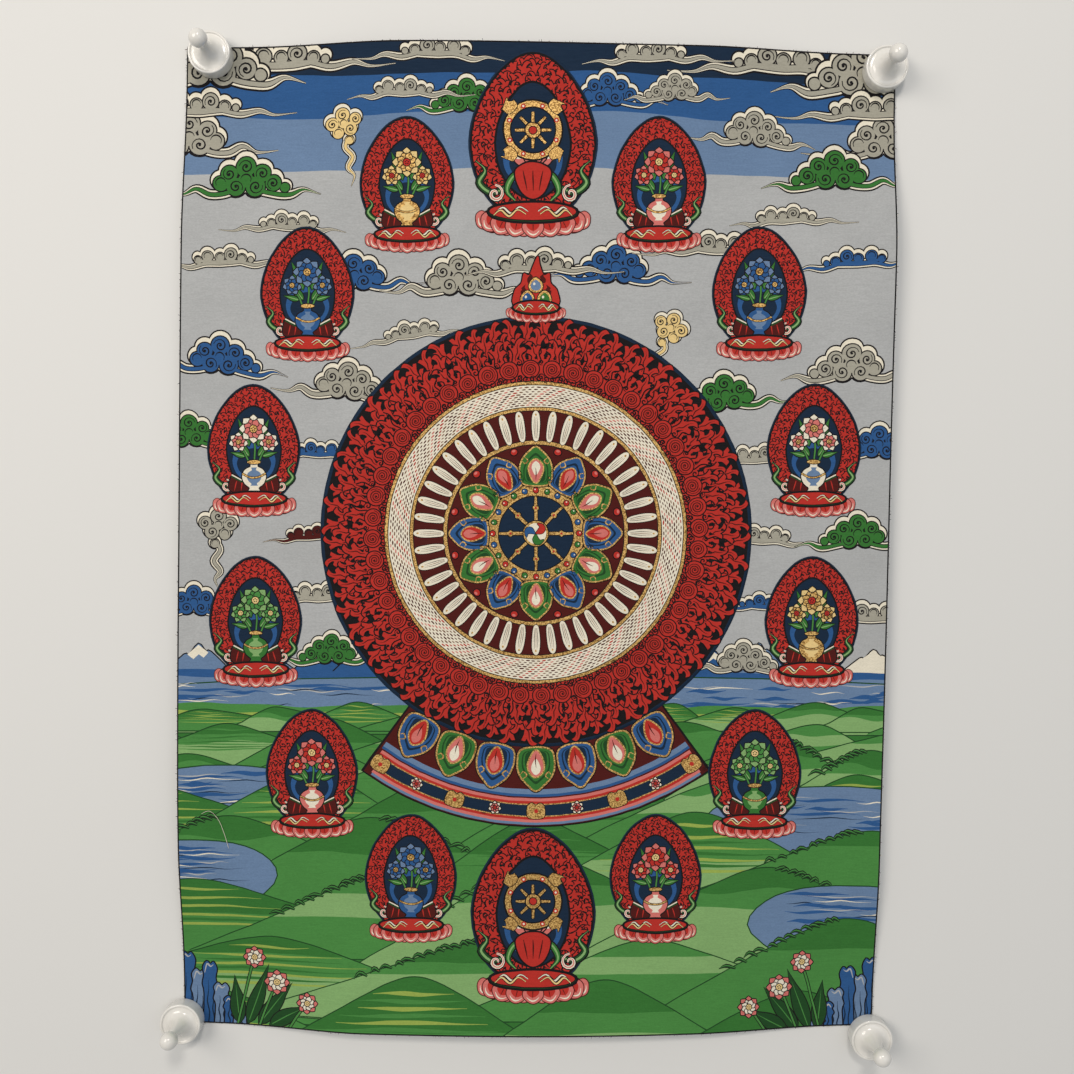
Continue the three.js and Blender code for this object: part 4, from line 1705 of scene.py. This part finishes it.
def medallion_rows():
    rows = []
    order = list(MEDALLIONS)
    for i, kind in enumerate(MEDALLION_KINDS):
        angle = TAU * (0.25 + i / len(MEDALLION_KINDS))
        offset = complex(MEDALLION_RING["across"] * math.cos(angle), MEDALLION_RING["up"] * math.sin(angle))
        size = WHEEL_SIZE if kind == "wheel" else 1.0
        rows.append((MEDALLION_RING["middle"] + offset, order.index(kind), size, 0))
    return rows


class THANGKA_OT_stitch_medallions(bpy.types.Operator):
    """Stitch the flame-rimmed medallions"""

    bl_idname = "thangka.stitch_medallions"
    bl_label = "Stitch the medallions"

    def execute(self, context):
        drawings = [medallion(contents, seed) for seed, contents in enumerate(MEDALLIONS.values())]
        rows = sorted(medallion_rows(), key=lambda row: -row[0].imag)
        for name, part in (("upper_medallions", rows[:7]), ("lower_medallions", rows[7:])):
            lay(name, placed_tree(), drawings, 4, {}, place_points(name, part))
        return {"FINISHED"}


# ---------------------------------------------------------------- edge threads


def tube(path, radius, sides=4):
    """A thin closed tube of thread along a path of points."""
    rings = []
    for i, point in enumerate(path):
        along = (path[min(i + 1, len(path) - 1)] - path[max(i - 1, 0)]).normalized()
        side = along.orthogonal().normalized()
        up = along.cross(side)
        share = 0.35 if i in (0, len(path) - 1) else 1
        for k in range(sides):
            a = TAU * k / sides
            rings.append(point + (side * math.cos(a) + up * math.sin(a)) * radius * share)
    faces = [tuple(range(sides))[::-1], tuple(range(len(rings) - sides, len(rings)))]
    for i in range(len(path) - 1):
        for k in range(sides):
            a, b = i * sides + k, i * sides + (k + 1) % sides
            faces.append((a, b, b + sides, a + sides))
    return rings, faces


def thread_mesh(name, path, radius, dye_name):
    places, faces = tube(path, radius)
    mesh = new_mesh(name, places, faces)
    keep_colours(mesh, "thread_colour", "FACE", [thread(dye_name)] * len(faces))
    return mesh


def fray_tree():
    """Short cut ends along the edge: most of them pressed down, some standing out."""
    tree, given, result = nodes_tree("Frayed edge", {
        "Ends": "Collection", "Material": "Material", "Spacing": "Float", "Share": "Float",
        "Spread": "Float", "Seed": "Int",
    })
    edge = out(tree, "GeometryNodeMeshToCurve", {0: given["Geometry"]})
    spacing = {"Curve": edge, "Length": given["Spacing"]}
    spaced = out(tree, "GeometryNodeResampleCurve", spacing, mode="LENGTH")
    tangent = out(tree, "GeometryNodeInputTangent")
    way = add(tree, "SeparateXYZ", {0: tangent}).outputs
    outward = out(tree, "Math.ARCTAN2", way["Z"], out(tree, "Math.MULTIPLY", way["X"], -1.0))

    def chance(low, high, step, kind="FLOAT"):
        seed = out(tree, "Math.ADD", given["Seed"], step)
        return out(tree, RANDOM, {"Min": low, "Max": high, "Seed": seed}, data_type=kind)

    away = out(tree, "Math.MULTIPLY", given["Spread"], -1.0)
    turn = out(tree, "CombineXYZ", {
        "X": chance(-0.5, 0.5, 1), "Y": out(tree, "Math.ADD", outward, chance(away, given["Spread"], 2)),
    })
    kept = out(tree, "Math.LESS_THAN", chance(0.0, 1.0, 3), given["Share"])
    kind, scale = chance(0, len(THREAD_ENDS) - 1, 4, "INT"), chance(0.5, 1.5, 5)
    finish_tree(tree, set_out(tree, given["Ends"], spaced, kind, turn, scale, kept), given, result)
    return tree


# The cut ends of thread: how far each bends aside and up, in millimetres, and its thread.
THREAD_ENDS = [
    (0, 0, "ink"), (0.3, 0.1, "ink"), (-0.4, 0.2, "ink"), (0.6, -0.1, "navy"), (-0.2, -0.2, "ink"),
    (0.1, 0.3, "cream"), (0.5, 0.1, "maroon"), (-0.6, 0, "cream"),
]
END_RADIUS = 0.13
# The course of the one loose thread, by the left edge.
LOOSE_COURSE = [-238 - 532j, -232 - 530j, -226 - 536j, -222 - 546j, -219 - 557j]
LOOSE_RADIUS = 0.17


class THANGKA_OT_fray_edge(bpy.types.Operator):
    """Add the cut thread ends along the edges and the one loose thread"""

    bl_idname = "thangka.fray_edge"
    bl_label = "Fray the edge"

    def execute(self, context):
        half = sizes().thickness / 2
        places = [(p.real * MM, -stand_off(p) * MM - half, p.imag * MM) for p in edge_outline()]
        lines = [(i, (i + 1) % len(places)) for i in range(len(places))]
        shelf = bpy.data.collections.new("thread_ends")
        for i, (bend, rise, dye_name) in enumerate(THREAD_ENDS):
            path = [Vector((bend * t * t, rise * t, 1.5 * t - 0.5)) * MM for t in (0, 0.35, 0.7, 1)]
            mesh = thread_mesh(f"end_{i}", path, END_RADIUS * MM, dye_name)
            shelf.objects.link(bpy.data.objects.new(f"end_{i}", mesh))
        piece = from_tree("edge_threads", fray_tree(), {
            "Ends": shelf, "Material": brocade(), "Spacing": 1.6 * MM, "Share": 0.45, "Spread": 1.2,
            "Seed": 9,
        }, new_mesh("edge_threads", places, lines=lines))
        clear_away(shelf)
        belongs(piece)
        route = curve(LOOSE_COURSE, 5)
        path = []
        for i, p in enumerate(route):
            rise = 0.3 + 0.5 * math.sin(math.pi * i / (len(route) - 1))
            path.append(Vector((p.real, -stand_off(p) - 1 - rise, p.imag)) * MM)
        mesh = thread_mesh("loose_thread", path, LOOSE_RADIUS * MM, "cream")
        belongs(shown("loose_thread", mesh, brocade()))
        return {"FINISHED"}


# ---------------------------------------------------------------- magnets


def arc(middle, radius, first, last, steps):
    return [middle + radius * turned(first + (last - first) * i / steps) for i in range(steps + 1)]


def magnet_profile():
    """Half the section of a magnet, from the middle of its base to the top of its ball, in
    millimetres: the distance out, and the height over the wall."""
    ball, radius, neck = 32j, 6.1, 60
    join = ball + radius * turned(-neck)
    flare = curve([12.35 + 9.2j, 11.2 + 9.25j, 9.2 + 9.9j, 7.2 + 11.8j, 5.3 + 15.6j, 4.0 + 20.5j, join], 6)
    points = [0j, 8 + 0j] + arc(13.9 + 0.6j, 0.6, -90, 0, 4) + [14.5 + 5j] + arc(13.7 + 9.4j, 0.8, 0, 90, 6)
    points += arc(13.3 + 9.8j, 0.4, 90, 180, 4) + flare + arc(ball, radius, -neck, 90, 22)[1:]
    points[-1] = complex(0, points[-1].imag)
    return points


def lathed(name, profile, middle, back, steps=72):
    """A profile turned round an axis that stands out from the wall, as one closed mesh."""
    rounds = profile[1:-1]

    def corner(place, height):
        return place.real * MM, back - height * MM, place.imag * MM

    places = [corner(middle, 0)]
    for i in range(steps):
        around = cmath.exp(1j * TAU * i / steps)
        places += [corner(middle + p.real * around, p.imag) for p in rounds]
    places.append(corner(middle, profile[-1].imag))
    size, tip = len(rounds), len(places) - 1
    faces = []
    for i in range(steps):
        here, after = 1 + i * size, 1 + (i + 1) % steps * size
        faces += [(0, here, after), (tip, after + size - 1, here + size - 1)]
        faces += [(here + k, here + k + 1, after + k + 1, after + k) for k in range(size - 1)]
    return new_mesh(name, places, faces)


def pin_name(name):
    return name.replace("magnet", "pin_magnet")


class THANGKA_OT_turn_magnets(bpy.types.Operator):
    """Make the four push-pin magnets"""

    bl_idname = "thangka.turn_magnets"
    bl_label = "Make the magnets"

    def execute(self, context):
        plastic = moulded_plastic()
        for name, middle in MAGNET_MIDDLES.items():
            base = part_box(name)[1].y
            mesh = lathed(pin_name(name), magnet_profile(), middle, base)
            magnet = shown(mesh.name, mesh, plastic)
            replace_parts(belongs(magnet), name)
        return {"FINISHED"}


class THANGKA_OT_hang_panel(bpy.types.Operator):
    """A step that does nothing: the cloth already hangs in its folds from the steps before"""

    bl_idname = "thangka.hang_panel"
    bl_label = "Hang the panel"

    def execute(self, context):
        return {"FINISHED"}


# ---------------------------------------------------------------- the studio

# In metres. The wall's face lies just behind the panel's back.
WALL_FACE, FLOOR, TOP, REACH = 0.0004, -1.6, 2, 3
STUDIO_SHEETS = {
    "studio_wall": [(-REACH, WALL_FACE, FLOOR), (REACH, WALL_FACE, FLOOR), (REACH, WALL_FACE, TOP),
                    (-REACH, WALL_FACE, TOP)],
    "studio_floor": [(-REACH, -REACH, FLOOR), (REACH, -REACH, FLOOR), (REACH, WALL_FACE, FLOOR),
                     (-REACH, WALL_FACE, FLOOR)],
}
# The lamps: place, size, share of the key lamp's power, and colour.
LAMPS = {
    "key": ((-1.6, -2.1, 0.45), 1.3, 1.0, "#fff6ec"),
    "soft": ((1.2, -2.4, -0.2), 1.6, 0.2, "#eef4ff"),
    "overhead": ((0.15, -1.9, 0.95), 0.35, 0.43, "#fff8f0"),
}
LAMP_AIM = Vector((0, 0, -0.35))
CAMERA_PLACE = (0.0054, -0.750, -0.3041)
CAMERA_WAY = Vector((-0.01029832, 0.99893658, -0.04494049))
# The strength of the backdrop as the camera sees it. The fill setting is what it gives the panel.
BACKDROP = 0.88


def looked_at(tree):
    """1 for what the camera sees, also mirrored, and 0 for what only lights the scene."""
    path = add(tree, "LightPath").outputs
    return out(tree, "Math.MAXIMUM", path["Is Camera Ray"], path["Is Glossy Ray"])


def wall_paint():
    """Matt wall paint, rolled: even and pale. It shows from its front alone, so that the cloth's
    back can be looked at."""
    paint, tree, surface, _ = new_material("painted wall, pale")
    fill(tree, surface, {"Base Color": opaque("#dcdcd9"), "Roughness": 0.7})
    behind = add(tree, "NewGeometry").outputs["Backfacing"]
    share = out(tree, "Math.MULTIPLY", looked_at(tree), out(tree, "Math.SUBTRACT", 1.0, behind))
    clear = out(tree, "BsdfTransparent")
    both = out(tree, "MixShader", share, clear, surface.outputs[0])
    tree.links.new(both, tree.nodes["Material Output"].inputs[0])
    return paint


def aimed(name, data, place, way):
    thing = bpy.data.objects.new(name, data)
    thing.location = place
    thing.rotation_euler = way.to_track_quat("-Z", "Y").to_euler()
    bpy.context.scene.collection.objects.link(thing)
    return thing


class THANGKA_OT_set_stage(bpy.types.Operator):
    """Set up the wall, the floor, the lamps and the camera"""

    bl_idname = "thangka.set_stage"
    bl_label = "Set the stage"

    def execute(self, context):
        settings = context.scene.thangka_studio
        paint = wall_paint()
        for name, corners in STUDIO_SHEETS.items():
            shown(name, new_mesh(name, corners, [(0, 1, 2, 3)]), paint)
        world = bpy.data.worlds.new("studio")
        context.scene.world = world
        world.use_nodes = True
        tree = world.node_tree
        strength = out(tree, "Math.MULTIPLY_ADD", looked_at(tree), BACKDROP - settings.fill, settings.fill)
        fill(tree, tree.nodes["Background"], {"Color": opaque("#f4f5f6"), "Strength": strength})
        for name, (place, size, share, colour) in LAMPS.items():
            light = bpy.data.lights.new(name, "AREA")
            light.size = size
            light.energy = settings.key * share
            light.color = linear(colour)
            aimed(name, light, place, LAMP_AIM - Vector(place))
        camera = bpy.data.cameras.new("camera")
        camera.lens = settings.lens
        camera.sensor_width = 36
        context.scene.camera = aimed("camera", camera, CAMERA_PLACE, CAMERA_WAY)
        context.scene.view_settings.view_transform = "Standard"
        return {"FINISHED"}


class THANGKA_PT_panel(bpy.types.Panel):
    """Lists the steps that make the thangka"""

    bl_label = "Thangka"
    bl_idname = "THANGKA_PT_panel"
    bl_space_type = "VIEW_3D"
    bl_region_type = "UI"
    bl_category = "Thangka"

    def draw(self, context):
        for step in STEPS:
            self.layout.operator(step.bl_idname)


GROUPS = {
    "thangka_threads": ThreadColours, "thangka_panel": PanelSizes, "thangka_mandala": MandalaSizes,
    "thangka_studio": StudioSettings,
}
STEPS = [
    THANGKA_OT_weave_panel, THANGKA_OT_stitch_mandala, THANGKA_OT_stitch_seat,
    THANGKA_OT_stitch_medallions, THANGKA_OT_fray_edge, THANGKA_OT_turn_magnets, THANGKA_OT_hang_panel,
    THANGKA_OT_set_stage,
]


def register():
    for name, group in GROUPS.items():
        bpy.utils.register_class(group)
        setattr(bpy.types.Scene, name, PointerProperty(type=group))
    for kind in [*STEPS, THANGKA_PT_panel]:
        bpy.utils.register_class(kind)


def unregister():
    for kind in [THANGKA_PT_panel, *reversed(STEPS)]:
        bpy.utils.unregister_class(kind)
    for name, group in GROUPS.items():
        delattr(bpy.types.Scene, name)
        bpy.utils.unregister_class(group)


def main():
    register()
    for step in STEPS:
        space, name = step.bl_idname.split(".")
        getattr(getattr(bpy.ops, space), name)()


if __name__ == "__main__":
    main()
